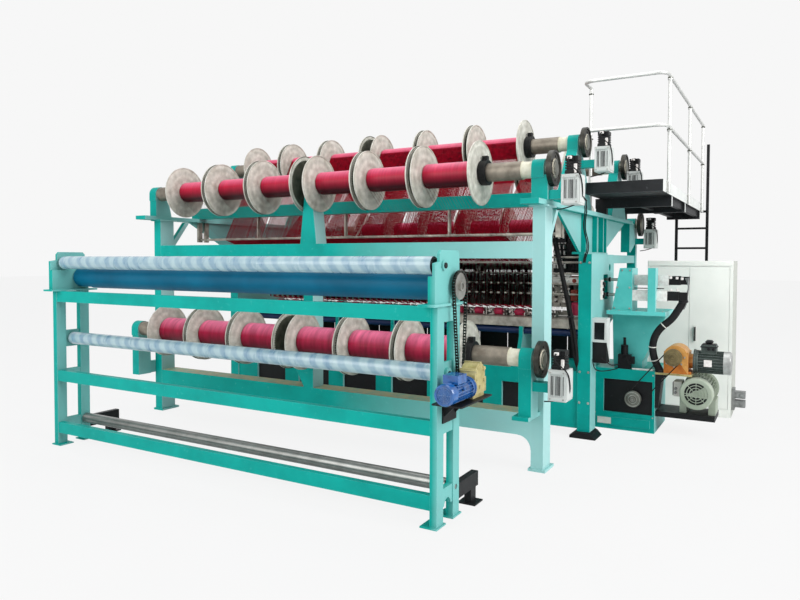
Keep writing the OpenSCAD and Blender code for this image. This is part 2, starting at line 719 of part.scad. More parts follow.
module upper_front_beam() warp_beam(UF);
module upper_middle_beam() warp_beam(UM);
module upper_rear_beam() warp_beam(UR);
module low_rear_beam() warp_beam(LR);
module lower_front_beam() warp_beam(LF);
module upper_front_yarn() yarn_rings(UF, yarn_d);
module upper_middle_yarn() yarn_rings(UM, yarn_d);
module upper_rear_yarn() yarn_rings(UR, yarn_d);
module low_rear_yarn() yarn_rings(LR, yarn_d);
module lower_front_yarn() yarn_rings(LF, lower_yarn_d);

// A bearing housing on a foot whose outline in the YZ plane is given
module pedestal(b, x, foot) difference() {
    union() {
        yz_plate(foot, span(x, bearing_w));
        xrod(span(x, bearing_w), b[0], b[1], head_r, round_fn);
        bar(span(x, bearing_w), span(b[0], 2 * head_r), [b[1] - head_r * 0.9, b[1]]);
    }
    xrod(span(x, bearing_w + 4), b[0], b[1], journal_d / 2 + run_gap, round_fn);
}

// Arm that reaches from a pedestal below the drive wheel to the let-off unit
module unit_arm(b) {
    x0 = bearing_right + b[3] + bearing_w / 2;
    z = b[1] - wheel_d / 2 - 30;
    bar([x0, b[4]], span(b[0], 90), [z - 70, z]);
}

module beam_pedestals() color(teal) placed() {
    for (side = [0, 1]) {
        x = side == 0 ? bearing_left : bearing_right;
        pedestal(UF, x, [[UF[0] - 72, arm_top], [UF[0] + 140, arm_top], [UF[0] + 80, UF[1]],
            [UF[0] - 72, UF[1]]]);
        pedestal(UM, x + side * UM[3], [[UM[0] - 480, arm_top], [UM[0] + 480, arm_top],
            [UM[0] + 75, UM[1] - 60], [UM[0] - 75, UM[1] - 60]]);
        pedestal(UR, x, [[UR[0] - 350, arm_top], [UR[0] + 350, arm_top], [UR[0] + 75, UR[1] - 60],
            [UR[0] - 75, UR[1] - 60]]);
        pedestal(LR, x, [[arm_back, leg_h - 330], [column_y[0], column_top],
            [LR[0] + 78, column_top], [LR[0] + 78, LR[1]], [LR[0] - 78, LR[1]], [arm_back, arm_top]]);
    }
    for (x = [bearing_left, bearing_right])
        bar(span(x, bearing_w), [2125, arm_back], [leg_h - 330, leg_h]);
    low = low_beam_top + plate_t;
    pedestal(LF, bearing_right, [[LF[0] - 70, low], [LF[0] + 90, low], [LF[0] + 78, LF[1]],
        [LF[0] - 40, LF[1]], [LF[0] - 70, LF[1] - 45]]);
    bar([bearing_right - 90, bearing_right + 40], [LF[0] - 100, leg_front], [low_beam_top, low]);
    pedestal(LF, bearing_left, [[LF[0] - 70, low - 60], [LF[0] + 90, low - 60], [LF[0] + 78, LF[1]],
        [LF[0] - 70, LF[1]]]);
    bar([bearing_left - bearing_w / 2, frame_left - leg_w / 2], [LF[0] + 90, leg_back], [low - 60, low + 60]);
    bar([bearing_right + bearing_w / 2, wheel_x(UF) - 4], [UF[0] - 72, UF[0] + 80], [arm_top, UF[1] - 52]);
    for (b = BEAMS) unit_arm(b);
}

// Let-off gearbox with upright louvres, and its servo motor on top
module letoff_gearboxes() color(white) placed() for (b = BEAMS) difference() {
    z1 = b[1] - unit_drop;
    bar([b[4], b[4] + unit_w], span(b[0], unit_d), [z1 - unit_h, z1]);
    for (i = [0:5]) bar(span(b[4] + 22 + i * 16, 7), [b[0] - unit_d / 2 - 1, b[0] - unit_d / 2 + 5],
        [z1 - unit_h + 35, z1 - 30]);
}

module letoff_servos() color(dark) placed() for (b = BEAMS) {
    z1 = b[1] - unit_drop;
    x = b[4] + unit_w / 2;
    bar(span(x, 104), span(b[0], 104), [z1, z1 + 24]);
    for (i = [0:3]) bar(span(x, 98), span(b[0], 98), [z1 + 24 + i * 20, z1 + 36 + i * 20]);
    bar(span(x, 78), span(b[0], 78), [z1 + 24, z1 + 104]);
    bar(span(x, 98), span(b[0], 98), [z1 + 104, z1 + servo_h]);
    bar(span(x, 34), [b[0] - 84, b[0] - 49], [z1 + 106, z1 + servo_h]);
}

// ---- Knitting head ----

// Rocking shaft in the side walls, with the hangers that carry the two guide bars
module swing_frame() color(grey) placed() {
    xrod([inner_left - wall_t / 2, inner_right + wall_t / 2], swing_y, swing_z, 35);
    for (x = hanger_xs) {
        xrod(span(x, 60), swing_y, swing_z, 62);
        yz_plate([[swing_y - 45, swing_z - 20], [swing_y - 45, swing_z + 40], [bar_front_y - 20, hanger_z + 35],
            [bar_front_y - 20, hanger_z + 16]], span(x, 40));
        bar(span(x, 60), [bar_front_y - 20, bar_rear_y + 30], [hanger_z, hanger_z + 20]);
    }
}

// A guide bar hung below the hangers, with a row of guide blocks along its lower edge
module guide_bar(y, top) {
    bar([bar_left, bar_right], span(y, bar_t), [guide_tip + 45, top]);
    for (x = lead_x) bar([x, x + lead_w], span(y, 16), [guide_tip, guide_tip + 45]);
}

module guide_bar_front() color(grey) placed() guide_bar(bar_front_y, hanger_z - 0.3);
module guide_bar_rear() color(grey) placed() guide_bar(bar_rear_y, hanger_z - 0.3);

module shog_rod(y, z) xrod([bar_right, cast_right + 60], y, z, rod_r);
module shog_rod_front() color(grey) placed() shog_rod(bar_front_y, rod_front_z);
module shog_rod_rear() color(grey) placed() shog_rod(bar_rear_y, rod_rear_z);

// Needle bar on the rail, with its row of needles in leads
module needle_bar() color("#c9cac6") placed() {
    bar([bar_left, bar_right], span(knit_y, 50), [rail_top + 12, rail_top + 40]);
    for (x = lead_x) bar([x, x + lead_w], span(knit_y, 8), [rail_top + 40, rail_top + 58]);
    for (x = stand_xs) zrod(x + 120, knit_y, [rail_top - 60, rail_top + 12], 16);
}

module knitting_rails() color(grey) placed() {
    difference() {
        bar([inner_left, inner_right], [down_y - 60, knit_y + 120], [rail_top - 90, rail_top]);
        for (x = stand_xs)
            zrod(x + 120, knit_y, [rail_top - 91, rail_top + 1], 16 + run_gap);
    }
    // Lease rods in the side walls: the nets hang from the top ones and pass before the others
    for (p = lease_rods) xrod([inner_left, inner_right], p[0], p[1], lease_r);
    // Return rods, on hangers below the yarn tie beam
    for (p = return_rods) xrod([arm_left + 40, arm_right - 40], p[0], p[1], return_r);
    for (x = hanger_mid) {
        bar(span(x, 16), [return_y - 62, return_y + 62], [return_z - 8, return_z + 22]);
        bar(span(x, 16), [return_y - 62, return_y - 22], [return_z + 22, arm_top]);
    }
    for (p = return_rods, x = [arm_left, arm_right])
        bar(x < 0 ? [x + 12, x + 40] : [x - 40, x - 12], span(p[0], 60), [return_z - 30, leg_h]);
}

module takedown_roll() color("#123a63") placed()
    turned([[inner_left - 20, 0], [inner_left - 20, 15], [inner_left + 12, 15], [inner_left + 12, down_d / 2],
        [inner_right - 12, down_d / 2], [inner_right - 12, 15], [inner_right + 20, 15],
        [inner_right + 20, 0]], down_y, down_z);

// A strip of yarn that leaves circle ra at a and touches circle rb at b, on its right-hand side.
// A negative radius puts it on that circle's other side.
module strip(a, ra, b, rb, x) {
    g = soft_gap;
    Ra = ra + g;
    Rb = rb < 0 ? rb - g - sheet_t : rb + g;
    t = loop_angle(a, b) - 90 + loop_lean(a, Ra, b, Rb);
    p = on_circle(a, Ra, t);
    q = on_circle(b, Rb, t);
    translate([x[0], p[0], p[1]]) rotate([t + 90, 0, 0])
        translate([0, 0, -sheet_t]) cube([x[1] - x[0], norm(q - p), sheet_t]);
}

module strips(beam, d, to, r) for (i = [0:2 * sections_half - 1]) {
    x = beam[2] + section_x(i) + flange_t * 1.8 + 14;
    strip([beam[0], beam[1]], d / 2, to, r, [x, x + section_w - 2 * flange_t * 1.8 - 28]);
}

module yarn_sheets() color("#b81f45") placed() {
    full = [UF[2] - beam_half + 40, UF[2] + beam_half - 40];
    strips(UF, yarn_d, return_rods[0], return_r);
    strips(UM, yarn_d, return_rods[1], return_r);
    strips(UR, yarn_d, lease_rods[4], lease_r);
    for (p = return_rods) strip(p, return_r, lease_rods[0], -lease_r, full);
    for (k = [0, 4]) {
        y = k == 0 ? lease_rods[k][0] + lease_r + soft_gap : lease_rods[k][0] - lease_r - soft_gap - sheet_t;
        bar(full, [y, y + sheet_t], [net_low, lease_rods[k][1]]);
    }
}

// ---- Right end ----

module base_box() color(teal) placed() {
    difference() {
        bar(base_x, base_y, [0, base_top]);
        bar([2247, 2705], [base_y[0] - 1, base_y[0] + 20], [170, 496]);
        yrod(main_shaft_x, [base_y[0], base_y[0] + 160], main_shaft_z, 25 + run_gap);
    }
    bar([base_x[0] + 40, base_x[1] - 40], [base_y[0] - 8, base_y[0]], [40, 120]);
}

// A V-belt pulley in the belt's plane, on a shaft that goes back from it
module belt_pulley(x, z, d, shaft_r, shaft_to) {
    translate([x, belt_y, z]) rotate([-90, 0, 0]) rotate_extrude($fn = round_fn)
        polygon([[0, -20], [d / 2 - 18, -20], [d / 2 - 16, -17], [d / 2, -17], [d / 2, -belt_w / 2 - 1],
            [d / 2 - belt_h, -belt_w / 2 + 2], [d / 2 - belt_h, belt_w / 2 - 2], [d / 2, belt_w / 2 + 1],
            [d / 2, 17], [d / 2 - 20, 17], [shaft_r, 17], [shaft_r, shaft_to - belt_y],
            [0, shaft_to - belt_y]]);
}

module main_pulley() color("#77786f") placed()
    belt_pulley(main_shaft_x, main_shaft_z, main_pulley_d, 25, base_y[0] + 150);
module gearbox_pulley() color("#77786f") placed()
    belt_pulley(worm_shaft_x, worm_shaft_z, gear_pulley_d, 20, 720);

// Outline of the belt's loop, h above the bottom of the pulleys' grooves
belt_steps = 96;
function belt_loop(h) =
    let (a = [main_shaft_x, main_shaft_z], b = [worm_shaft_x, worm_shaft_z],
        ra = main_pulley_d / 2 - belt_h + belt_clear + h, rb = gear_pulley_d / 2 - belt_h + belt_clear + h,
        len = loop_len(a, ra, b, rb))
    [for (i = [0:belt_steps - 1]) loop_point(i * len / belt_steps, a, ra, b, rb)];

module belt_layer(h0, h1, w) translate([0, belt_y + w / 2, 0]) rotate([90, 0, 0]) linear_extrude(w)
    difference() {
        polygon(belt_loop(h1));
        polygon(belt_loop(h0));
    }

module v_belt() color(dark) placed() {
    belt_layer(0, belt_h / 2, belt_w - 5);
    belt_layer(belt_h / 2, belt_h - 1, belt_w - 2);
}

// Orange worm gearbox on its shelf beside the base box
module worm_gearbox() placed() {
    y = [base_y[0] + 10, 850];
    color("#d07a2c") difference() {
        union() {
            bar([2802, 3017], y, [shelf_top, 800]);
            yrod(worm_shaft_x + 12, y, worm_shaft_z, 108, round_fn);
            bar([2800, 3040], [y[0] + 20, y[1] - 20], [shelf_top, shelf_top + 22]);
            xrod([worm_shaft_x + 60, 3056], (y[0] + y[1]) / 2, worm_shaft_z - 43, 70, round_fn);
        }
        yrod(worm_shaft_x, [y[0] - 1, 721], worm_shaft_z, 20 + run_gap);
    }
    color("#d8cba0") bar([base_x[1], 3050], [y[0] - 10, y[1] + 30], [shelf_top - 18, shelf_top]);
    color(dark) xz_plate([[base_x[1], shelf_top - 18], [base_x[1], 250], [base_x[1] + 30, 250],
        [base_x[1] + 60, shelf_top - 60], [base_x[1] + 120, shelf_top - 18]], [y[0], y[0] + 160]);
}

module drive_motors() placed() {
    // Worm gearbox's motor, along X, with its terminal box
    r = worm_motor_d / 2;
    wy = (base_y[0] + 860) / 2;
    wz = worm_shaft_z - 43;
    color("#3c4844") translate([3376, wy, wz]) rotate([0, 0, 90]) y_motor(r, 320, 24);
    color("#3c4844") bar([3120, 3250], span(wy, 120), [wz + r * 0.8, wz + r + 55]);
    // Main motor, along Y, on the bracket that the base box holds
    R = main_motor_d / 2;
    mx = 3093;
    mz = 424;
    color("#76817b") translate([mx, 570, mz]) y_motor(R, 470, 30);
    color("#76817b") for (x = [mx - 126, mx + 126]) bar(span(x, 60), [700, 960], [215, mz - R * 0.45]);
    color("#a9aba6") bar([mx - R - 62, mx - R + 10], [700, 880], [mz - 60, mz + 80]);
    color(dark) bar([base_x[1], mx + 157], [640, 1010], [165, 215]);
}

// Funnel-shaped housing with its flange, the casting and the post that hold the actuators
module shog_housing() color(teal) placed() {
    bar(house_x, house_y, [house_z - 38, house_z]);
    xz_plate([[2320, base_top], [2587, base_top], [2587, 670], [house_x[1] - 20, house_z - 38],
        [house_x[0] + 10, house_z - 38], [2310, 670]], [base_y[0] + 120, house_y[1] - 30]);
    difference() {
        xz_plate([[2326, house_z], [cast_right, house_z], [cast_right, 1587], [2397, 1587]],
            [bar_front_y - 55, bar_rear_y + 120]);
        xrod([2300, cast_right + 1], bar_front_y, rod_front_z, rod_r + run_gap);
        xrod([2300, cast_right + 1], bar_rear_y, rod_rear_z, rod_r + run_gap);
    }
    bar([2666, 2735], [house_y[0], bar_front_y - actuator_w / 2], [house_z, 1590]);
    bar([2666, 2735], [bar_front_y - actuator_w / 2, bar_rear_y - actuator_w / 2 - 20],
        [rod_front_z + 50, 1590]);
}

// Linear actuators with their servo motors; the push rods run in their bores
module shog_actuators() placed() {
    for (p = [[bar_front_y, rod_front_z], [bar_rear_y, rod_rear_z]]) {
        color(white) difference() {
            bar([cast_right, actuator_end], span(p[0], actuator_w), span(p[1], actuator_w + 10));
            xrod([cast_right - 1, cast_right + 120], p[0], p[1], rod_r + run_gap);
        }
        color(dark) bar([actuator_end, actuator_end + 100], span(p[0], 84), span(p[1], 84));
        color(dark) bar([actuator_end + 100, actuator_end + 174], span(p[0], 74), span(p[1], 74));
    }
}

// Route of the thick cable hose between its two glands, from the upper servo down to the shelf
hose_route = [[2967, 605, rod_front_z - 37], [2967, 605, 1274], [2930, 600, 1209], [2896, 595, 1150],
    [2869, 590, 1111], [2835, 585, 1078], [2800, 581, 1049], [2753, 577, 996], [2717, 576, 924],
    [2703, 580, 840], [2708, 590, 776], [2721, 604, 714], [2743, 622, 653], [2763, 640, 613],
    [2763, 640, shelf_top]];
hose_r = 34;
hose_sides = 12;

function hose_dir(i) = let (n = len(hose_route) - 1,
    d = hose_route[min(i + 1, n)] - hose_route[max(i - 1, 0)]) d / norm(d);
function hose_side(i) = let (c = cross(hose_dir(i), [0, 1, 0])) c / norm(c);
function hose_ring(i) = let (u = hose_side(i), v = cross(hose_dir(i), u))
    [for (k = [0:hose_sides - 1]) let (t = k * 360 / hose_sides)
        hose_route[i] + hose_r * (cos(t) * u + sin(t) * v)];

module cable_hose() color(dark) placed() {
    n = len(hose_route);
    m = hose_sides;
    points = [for (i = [0:n - 1]) each hose_ring(i)];
    sides = [for (i = [0:n - 2], k = [0:m - 1])
        [i * m + k, (i + 1) * m + k, (i + 1) * m + (k + 1) % m, i * m + (k + 1) % m]];
    ends = [[for (k = [0:m - 1]) k], [for (k = [0:m - 1]) n * m - 1 - k]];
    polyhedron(points, concat(sides, ends));
}

// White oil unit with its dark window, and the black pump on the base box
module lubrication_unit() placed() {
    x = [wall_right + wall_t / 2, 2370];
    color(white) difference() {
        bar(x, [150, 290], [901, 1124]);
        bar([x[0] + 18, x[1] - 18], [149, 158], [925, 1085]);
    }
    color(dark) bar([x[0] + 20, x[1] - 20], [151, 158], [927, 1083]);
    color(dark) bar([x[0], x[1]], [165, 290], [706, 901]);
    color(dark) {
        bar([2375, 2490], [620, 700], [base_top, 740]);
        bar([2490, 2525], [640, 680], [650, 720]);
        zrod(2430, 660, [740, 830], 34);
        zrod(2430, 660, [830, 905], 14);
    }
}

// ---- Platform, handrail and ladder ----

module platform() color(dark) placed() {
    z = floor_z - 30;
    translate([0, 0, z]) linear_extrude(30) polygon([[platform_x, platform_y], [platform_out, platform_y],
        [platform_out, platform_end], [clear_x, platform_end], [clear_x, 1150], [platform_x, 1150]]);
    bar([platform_x, platform_out], [platform_y - 6, platform_y], [z, floor_z + 80]);
    bar([platform_out, platform_out + 6], [platform_y - 6, platform_end], [z, floor_z + 80]);
    for (y = [knit_y + 300, 1900]) bar([arm_right - 60, platform_out], [y, y + 60], [z - 100, z]);
    for (y = [knit_y + 300, 1900]) bar(span(arm_right, 110), [y, y + 60], [arm_top, z - 100]);
    bar([clear_x + 200, platform_out], [platform_end - 340, platform_end - 280], [z - 100, z]);
    for (x = [clear_x + 220, platform_out - 80]) bar([x, x + 50], [knit_y + 360, 1900], [z - 70, z]);
    for (x = [clear_x + 220, platform_out - 80]) bar([x, x + 50], [1960, platform_end - 340], [z - 70, z]);
}

pipe_r = pipe_d / 2;
bend_r = 100;

// A quarter bend of pipe: centre c, in the plane that rot turns it into
module bend(c, rot) translate(c) rotate(rot) rotate_extrude(angle = 90, $fn = round_fn)
    translate([bend_r, 0]) circle(r = pipe_r, $fn = 24);

// The rails turn back at both front corners. The left end stands on the side arm, and the other
// posts stand outside the side toe board.
rail_left = 2060;
rail_right = platform_out + 6 + pipe_r;
rail_front = platform_y + pipe_r + 17;
rail_back = [715, 3300];
rail_posts = [600, 2030, rail_back[1]];

module rail(z) {
    translate([rail_left, rail_back[0], z]) rotate([90, 0, 0])
        cylinder(h = rail_back[0] - rail_front - bend_r, r = pipe_r, $fn = 24);
    bend([rail_left + bend_r, rail_front + bend_r, z], [0, 0, 180]);
    xrod([rail_left + bend_r, rail_right - bend_r], rail_front, z, pipe_r, 24);
    bend([rail_right - bend_r, rail_front + bend_r, z], [0, 0, -90]);
    translate([rail_right, rail_back[1], z]) rotate([90, 0, 0])
        cylinder(h = rail_back[1] - rail_front - bend_r, r = pipe_r, $fn = 24);
}

module handrail() color("#cfd2d2") placed() {
    for (z = [floor_z + 0.55 * handrail_h, floor_z + handrail_h]) rail(z);
    zrod(rail_left, rail_back[0], [arm_top, floor_z + handrail_h], pipe_r, 24);
    for (y = rail_posts) zrod(rail_right, y, [floor_z - 30, floor_z + handrail_h], pipe_r, 24);
}

module ladder() color(dark) placed() {
    tops = [floor_z, floor_z + 870];
    for (i = [0, 1]) bar(span(ladder_x[i], stile_w), [ladder_y, ladder_y + 40], [0, tops[i]]);
    for (k = [1:floor((floor_z - 100) / rung_pitch)])
        xrod([ladder_x[0], ladder_x[1]], ladder_y + 20, k * rung_pitch - 25, 14, 24);
    for (x = ladder_x) bar([x - 8, x + 8], [platform_end, ladder_y], [floor_z - 30, floor_z]);
    bar([platform_out + 6, ladder_x[1] + 8], [platform_end - 8, platform_end], [floor_z - 30, floor_z]);
}

// ---- Cabinet ----

module cabinet_body() placed() {
    x = [cabinet_x, cabinet_x + cabinet_w];
    y = [cabinet_y, cabinet_y + cabinet_d];
    color("#c9cbc8") difference() {
        bar(x, y, [0, cabinet_h]);
        bar([x[0] + 30, x[1] - 30], [y[0] - 1, y[0] + door_t + 2], [plinth_h, cabinet_h - 60]);
        bar([x[0] + 60, x[1] - 60], [y[0] + door_t, y[1] - 30], [plinth_h + 30, cabinet_h - 90]);
    }
    // Pivot pins of the doors
    color("#8b8d8a") for (px = pin_x) {
        zrod(px, y[0] + pin_in, [plinth_h - 1, plinth_h + 25], pin_r);
        zrod(px, y[0] + pin_in, [cabinet_h - 85, cabinet_h - 59], pin_r);
    }
    color("#a9aba6") for (z = [110, 205])
        bar([x[1], x[1] + socket_w], [y[0] + 80, y[0] + 180], [z, z + 70]);
    color("#a9aba6") bar([x[1], x[1] + 30], [y[0] + 60, y[0] + 200], [80, 305]);
}

module pivot_bore(x) zrod(x, cabinet_y + pin_in, [plinth_h, cabinet_h], pin_r + run_gap);

module door_left() difference() {
    bar([cabinet_x + 30 + door_gap, door_mid - door_gap / 2], [cabinet_y, cabinet_y + door_t], door_z);
    pivot_bore(pin_x[0]);
}

module door_right() difference() {
    bar([door_mid + door_gap / 2, cabinet_x + cabinet_w - 30 - door_gap], [cabinet_y, cabinet_y + door_t],
        door_z);
    yrod(door_mid + 60, [cabinet_y - 1, cabinet_y + door_t + 1], 917, 10 + run_gap);
    pivot_bore(pin_x[1]);
}

module cabinet_door_left() color("#d5d7d4") placed() door_left();
module cabinet_door_right() color("#d5d7d4") placed() door_right();
module cabinet_handle() color("#8b8d8a") placed() {
    yrod(door_mid + 60, [cabinet_y - 14, cabinet_y + door_t - 4], 917, 10);
    bar(span(door_mid + 60, 20), [cabinet_y - 26, cabinet_y - 14], [800, 950]);
}

stand_frame();
roll_cheeks();
stand_brackets();
press_roll();
takeup_roll();
guide_roll();
batch_roll();
drive_sprocket();
gearbox_sprocket();
roller_chain();
takeup_motor();
takeup_gearbox();
front_legs();
front_cross_beams();
yarn_tie_beam();
side_arms();
side_walls();
rear_columns();
machine_bed();
black_panels();
levelling_feet();
upper_front_beam();
upper_middle_beam();
upper_rear_beam();
low_rear_beam();
lower_front_beam();
upper_front_yarn();
upper_middle_yarn();
upper_rear_yarn();
low_rear_yarn();
lower_front_yarn();
beam_pedestals();
letoff_gearboxes();
letoff_servos();
swing_frame();
guide_bar_front();
guide_bar_rear();
shog_rod_front();
shog_rod_rear();
needle_bar();
knitting_rails();
takedown_roll();
yarn_sheets();
base_box();
main_pulley();
gearbox_pulley();
v_belt();
worm_gearbox();
drive_motors();
shog_housing();
shog_actuators();
cable_hose();
lubrication_unit();
platform();
handrail();
ladder();
cabinet_body();
cabinet_door_left();
cabinet_door_right();
cabinet_handle();
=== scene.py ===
"""Warp knitting machine: the finishes and the fine pieces around its fixed frame."""

import math
import random

import bmesh
import bpy
from mathutils import Matrix, Vector


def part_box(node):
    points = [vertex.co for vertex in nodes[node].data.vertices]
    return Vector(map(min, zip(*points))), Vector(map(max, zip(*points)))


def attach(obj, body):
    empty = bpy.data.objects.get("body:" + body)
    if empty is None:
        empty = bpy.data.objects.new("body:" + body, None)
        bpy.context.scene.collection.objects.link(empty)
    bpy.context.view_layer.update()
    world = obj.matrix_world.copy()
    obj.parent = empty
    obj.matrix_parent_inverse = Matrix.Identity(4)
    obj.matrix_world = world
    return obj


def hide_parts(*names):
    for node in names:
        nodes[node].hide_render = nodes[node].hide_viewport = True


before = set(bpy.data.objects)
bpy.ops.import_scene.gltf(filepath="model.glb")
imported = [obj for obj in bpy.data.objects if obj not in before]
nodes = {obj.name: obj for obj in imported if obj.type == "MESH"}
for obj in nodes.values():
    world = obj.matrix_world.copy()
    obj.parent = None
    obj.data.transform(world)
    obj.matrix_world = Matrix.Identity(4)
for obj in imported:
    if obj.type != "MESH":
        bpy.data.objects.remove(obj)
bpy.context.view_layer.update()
MM = 0.001


# ---- camera

EYE = (3.2795, -6.705, 1.66)
HEADING, PITCH, LEAN = 30.042, -1.898, 0.168
SENSOR_W, LENS, LENS_SHIFT, FAR_CLIP = 36, 30.49, -0.022, 200

turn = [math.radians(angle) for angle in (90 + PITCH, -LEAN, HEADING)]
bpy.ops.object.camera_add(location=EYE, rotation=turn)
camera = bpy.context.object
camera.data.sensor_width, camera.data.lens = SENSOR_W, LENS
camera.data.shift_y, camera.data.clip_end = LENS_SHIFT, FAR_CLIP
bpy.context.scene.camera = camera


# ---- places and the thick hose

# Sizes below are in millimetres in the machine's own axes: across it from the middle of the
# head, back from the front posts' line, and up from the floor. The base box fixes their zero.
BASE_RIGHT, BASE_LIP = 2726, 592
HOME = Vector((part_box("base_box")[1][0] - BASE_RIGHT * MM,
               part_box("base_box")[0][1] - BASE_LIP * MM, 0))


def spot(x, y, z):
    """A place in the scene from the machine's own millimetres."""
    return HOME + Vector((x, y, z)) * MM


def add_tube(name, route, radius, resolution):
    """A round tube along a smoothed route of places in millimetres."""
    data = bpy.data.curves.new(name, "CURVE")
    data.dimensions = "3D"
    data.bevel_depth, data.bevel_resolution = radius * MM, resolution
    data.use_fill_caps = True
    spline = data.splines.new("NURBS")
    spline.points.add(len(route) - 1)
    for point, place in zip(spline.points, route):
        point.co = (*spot(*place), 1)
    spline.order_u = 3
    spline.use_endpoint_u = True
    spline.resolution_u = 5
    obj = bpy.data.objects.new(name, data)
    bpy.context.collection.objects.link(obj)
    return obj


HOSE_R = 34
HOSE_ROUTE = (
    (2967, 605, 1274), (2930, 600, 1209), (2896, 595, 1150), (2869, 590, 1111),
    (2835, 585, 1078), (2800, 581, 1049), (2753, 577, 996), (2717, 576, 924),
    (2703, 580, 840), (2708, 590, 776), (2721, 604, 714), (2743, 622, 653), (2763, 640, 613),
)

hose = add_tube("cable_hose_jacket", HOSE_ROUTE, HOSE_R, 7)


# ---- modelling helpers

TURNS = {"x": (0, math.pi / 2, 0), "y": (math.pi / 2, 0, 0), "z": (0, 0, 0)}
AXES = {"x": 0, "y": 1, "z": 2}
SMOOTH_BELOW = math.radians(35)


def take(obj):
    """Only this object is selected and active."""
    for other in bpy.context.selected_objects:
        other.select_set(False)
    obj.select_set(True)
    bpy.context.view_layer.objects.active = obj


def settle():
    """Applies the transforms of the object in hand."""
    bpy.ops.object.transform_apply(location=True, rotation=True, scale=True)
    return bpy.context.object


def bar(x, y, z, bevel):
    """A bar between pairs of limits, its edges broken, all in millimetres."""
    lo, hi = (spot(x[end], y[end], z[end]) for end in (0, 1))
    bpy.ops.mesh.primitive_cube_add(size=1, location=(lo + hi) / 2, scale=hi - lo)
    made = settle()
    bpy.ops.object.mode_set(mode="EDIT")
    bpy.ops.mesh.select_all(action="SELECT")
    bpy.ops.mesh.bevel(offset=bevel * MM, segments=1, affect="EDGES")
    bpy.ops.object.mode_set(mode="OBJECT")
    return made


def add_round(centre, radius, length, axis, sides, bevel):
    """A round bar in metres, its end edges broken by bevel millimetres."""
    bpy.ops.mesh.primitive_cylinder_add(
        vertices=sides, radius=radius, depth=length, location=centre, rotation=TURNS[axis]
    )
    turned = settle()
    if bevel:
        n = AXES[axis]
        bpy.ops.object.mode_set(mode="EDIT")
        bpy.ops.mesh.select_mode(type="FACE")
        bpy.ops.mesh.select_all(action="DESELECT")
        mesh = bmesh.from_edit_mesh(turned.data)
        for face in mesh.faces:
            off = abs(face.calc_center_median()[n] - Vector(centre)[n])
            face.select_set(off > length / 2 - 1e-4)
        bmesh.update_edit_mesh(turned.data)
        bpy.ops.mesh.bevel(offset=bevel * MM, segments=2, affect="EDGES")
        bpy.ops.object.mode_set(mode="OBJECT")
    return turned


def rod(centre, radius, length, axis, sides, bevel):
    return add_round(spot(*centre), radius * MM, length * MM, axis, sides, bevel)


def ring(centre, radius, thick, axis, segments):
    """A thin ring round the axis, in millimetres."""
    bpy.ops.mesh.primitive_torus_add(
        location=spot(*centre), rotation=TURNS[axis], major_radius=radius * MM,
        minor_radius=thick * MM, major_segments=segments, minor_segments=8,
    )
    return settle()


def span(centre, width):
    return (centre - width / 2, centre + width / 2)


def grid(xs, ys, zs):
    return [(x, y, z) for x in xs for y in ys for z in zs]


def join(name, parts):
    """Joins the parts into one named piece at the origin."""
    take(parts[0])
    for part in parts[1:]:
        part.select_set(True)
    if len(parts) > 1:
        bpy.ops.object.join()
    piece = bpy.context.view_layer.objects.active
    piece.name = piece.data.name = name
    return piece


def put_copies(pattern, places):
    """Copies of the pattern moved by each place, each with its own mesh. The pattern goes."""
    made = []
    for place in places:
        copy = pattern.copy()
        copy.data = pattern.data.copy()
        copy.data.transform(Matrix.Translation(place))
        bpy.context.collection.objects.link(copy)
        made.append(copy)
    bpy.data.objects.remove(pattern)
    return made


def row(parts, xs):
    """Copies, at each x across the machine, of a pattern whose parts are made at 0."""
    return put_copies(join("pattern", parts), [Vector((x * MM, 0, 0)) for x in xs])


def paint(obj, *finishes):
    obj.data.materials.clear()
    for finish in finishes:
        obj.data.materials.append(finish)


def fit(piece, finish, body="root"):
    """Gives the piece its finish and the body that it moves with."""
    paint(piece, finish)
    take(piece)
    bpy.ops.object.shade_smooth_by_angle(angle=SMOOTH_BELOW)
    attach(piece, body)
    return piece


def add_piece(name, parts, finish, body="root"):
    return fit(join(name, parts), finish, body)


WASHER_T, WASHER_WIDER, HEAD_SHARE = 2.4, 1.15, 0.66


def bolt_pattern(size, way):
    """A hexagon bolt on its washer at the origin, standing out along the way given."""
    high = size * HEAD_SHARE
    bolt = join("bolt", [
        add_round((0, 0, WASHER_T / 2 * MM), size * WASHER_WIDER * MM, WASHER_T * MM, "z", 20,
                  0.5),
        add_round((0, 0, (WASHER_T + high / 2) * MM), size * MM, high * MM, "z", 6, 1.2),
    ])
    take(bolt)
    bolt.rotation_euler = Vector((0, 0, 1)).rotation_difference(Vector(way)).to_euler()
    return settle()


FORWARD, RIGHT, UP = (0, -1, 0), (1, 0, 0), (0, 0, 1)


def add_bolts(name, size, way, places):
    """One piece of bolts whose heads are size millimetres in radius."""
    copies = put_copies(bolt_pattern(size, way), [spot(*place) for place in places])
    return add_piece(name, copies, oiled_steel)


def mesh_piece(name, mesh):
    data = bpy.data.meshes.new(name)
    mesh.to_mesh(data)
    mesh.free()
    obj = bpy.data.objects.new(name, data)
    bpy.context.collection.objects.link(obj)
    return obj


def add_prism(mesh, rows):
    """A three-sided skin along rows of three corners, closed at both ends."""
    for low, high in zip(rows, rows[1:]):
        for i in range(3):
            mesh.faces.new((low[i], low[(i + 1) % 3], high[(i + 1) % 3], high[i]))
    mesh.faces.new(rows[0][::-1])
    mesh.faces.new(rows[-1])


# ---- finishes


def colour(code):
    """A hex colour as linear light."""
    parts = [int(code[i : i + 2], 16) / 255 for i in (1, 3, 5)]
    return tuple(p / 12.92 if p <= 0.04045 else ((p + 0.055) / 1.055) ** 2.4 for p in parts) + (1,)


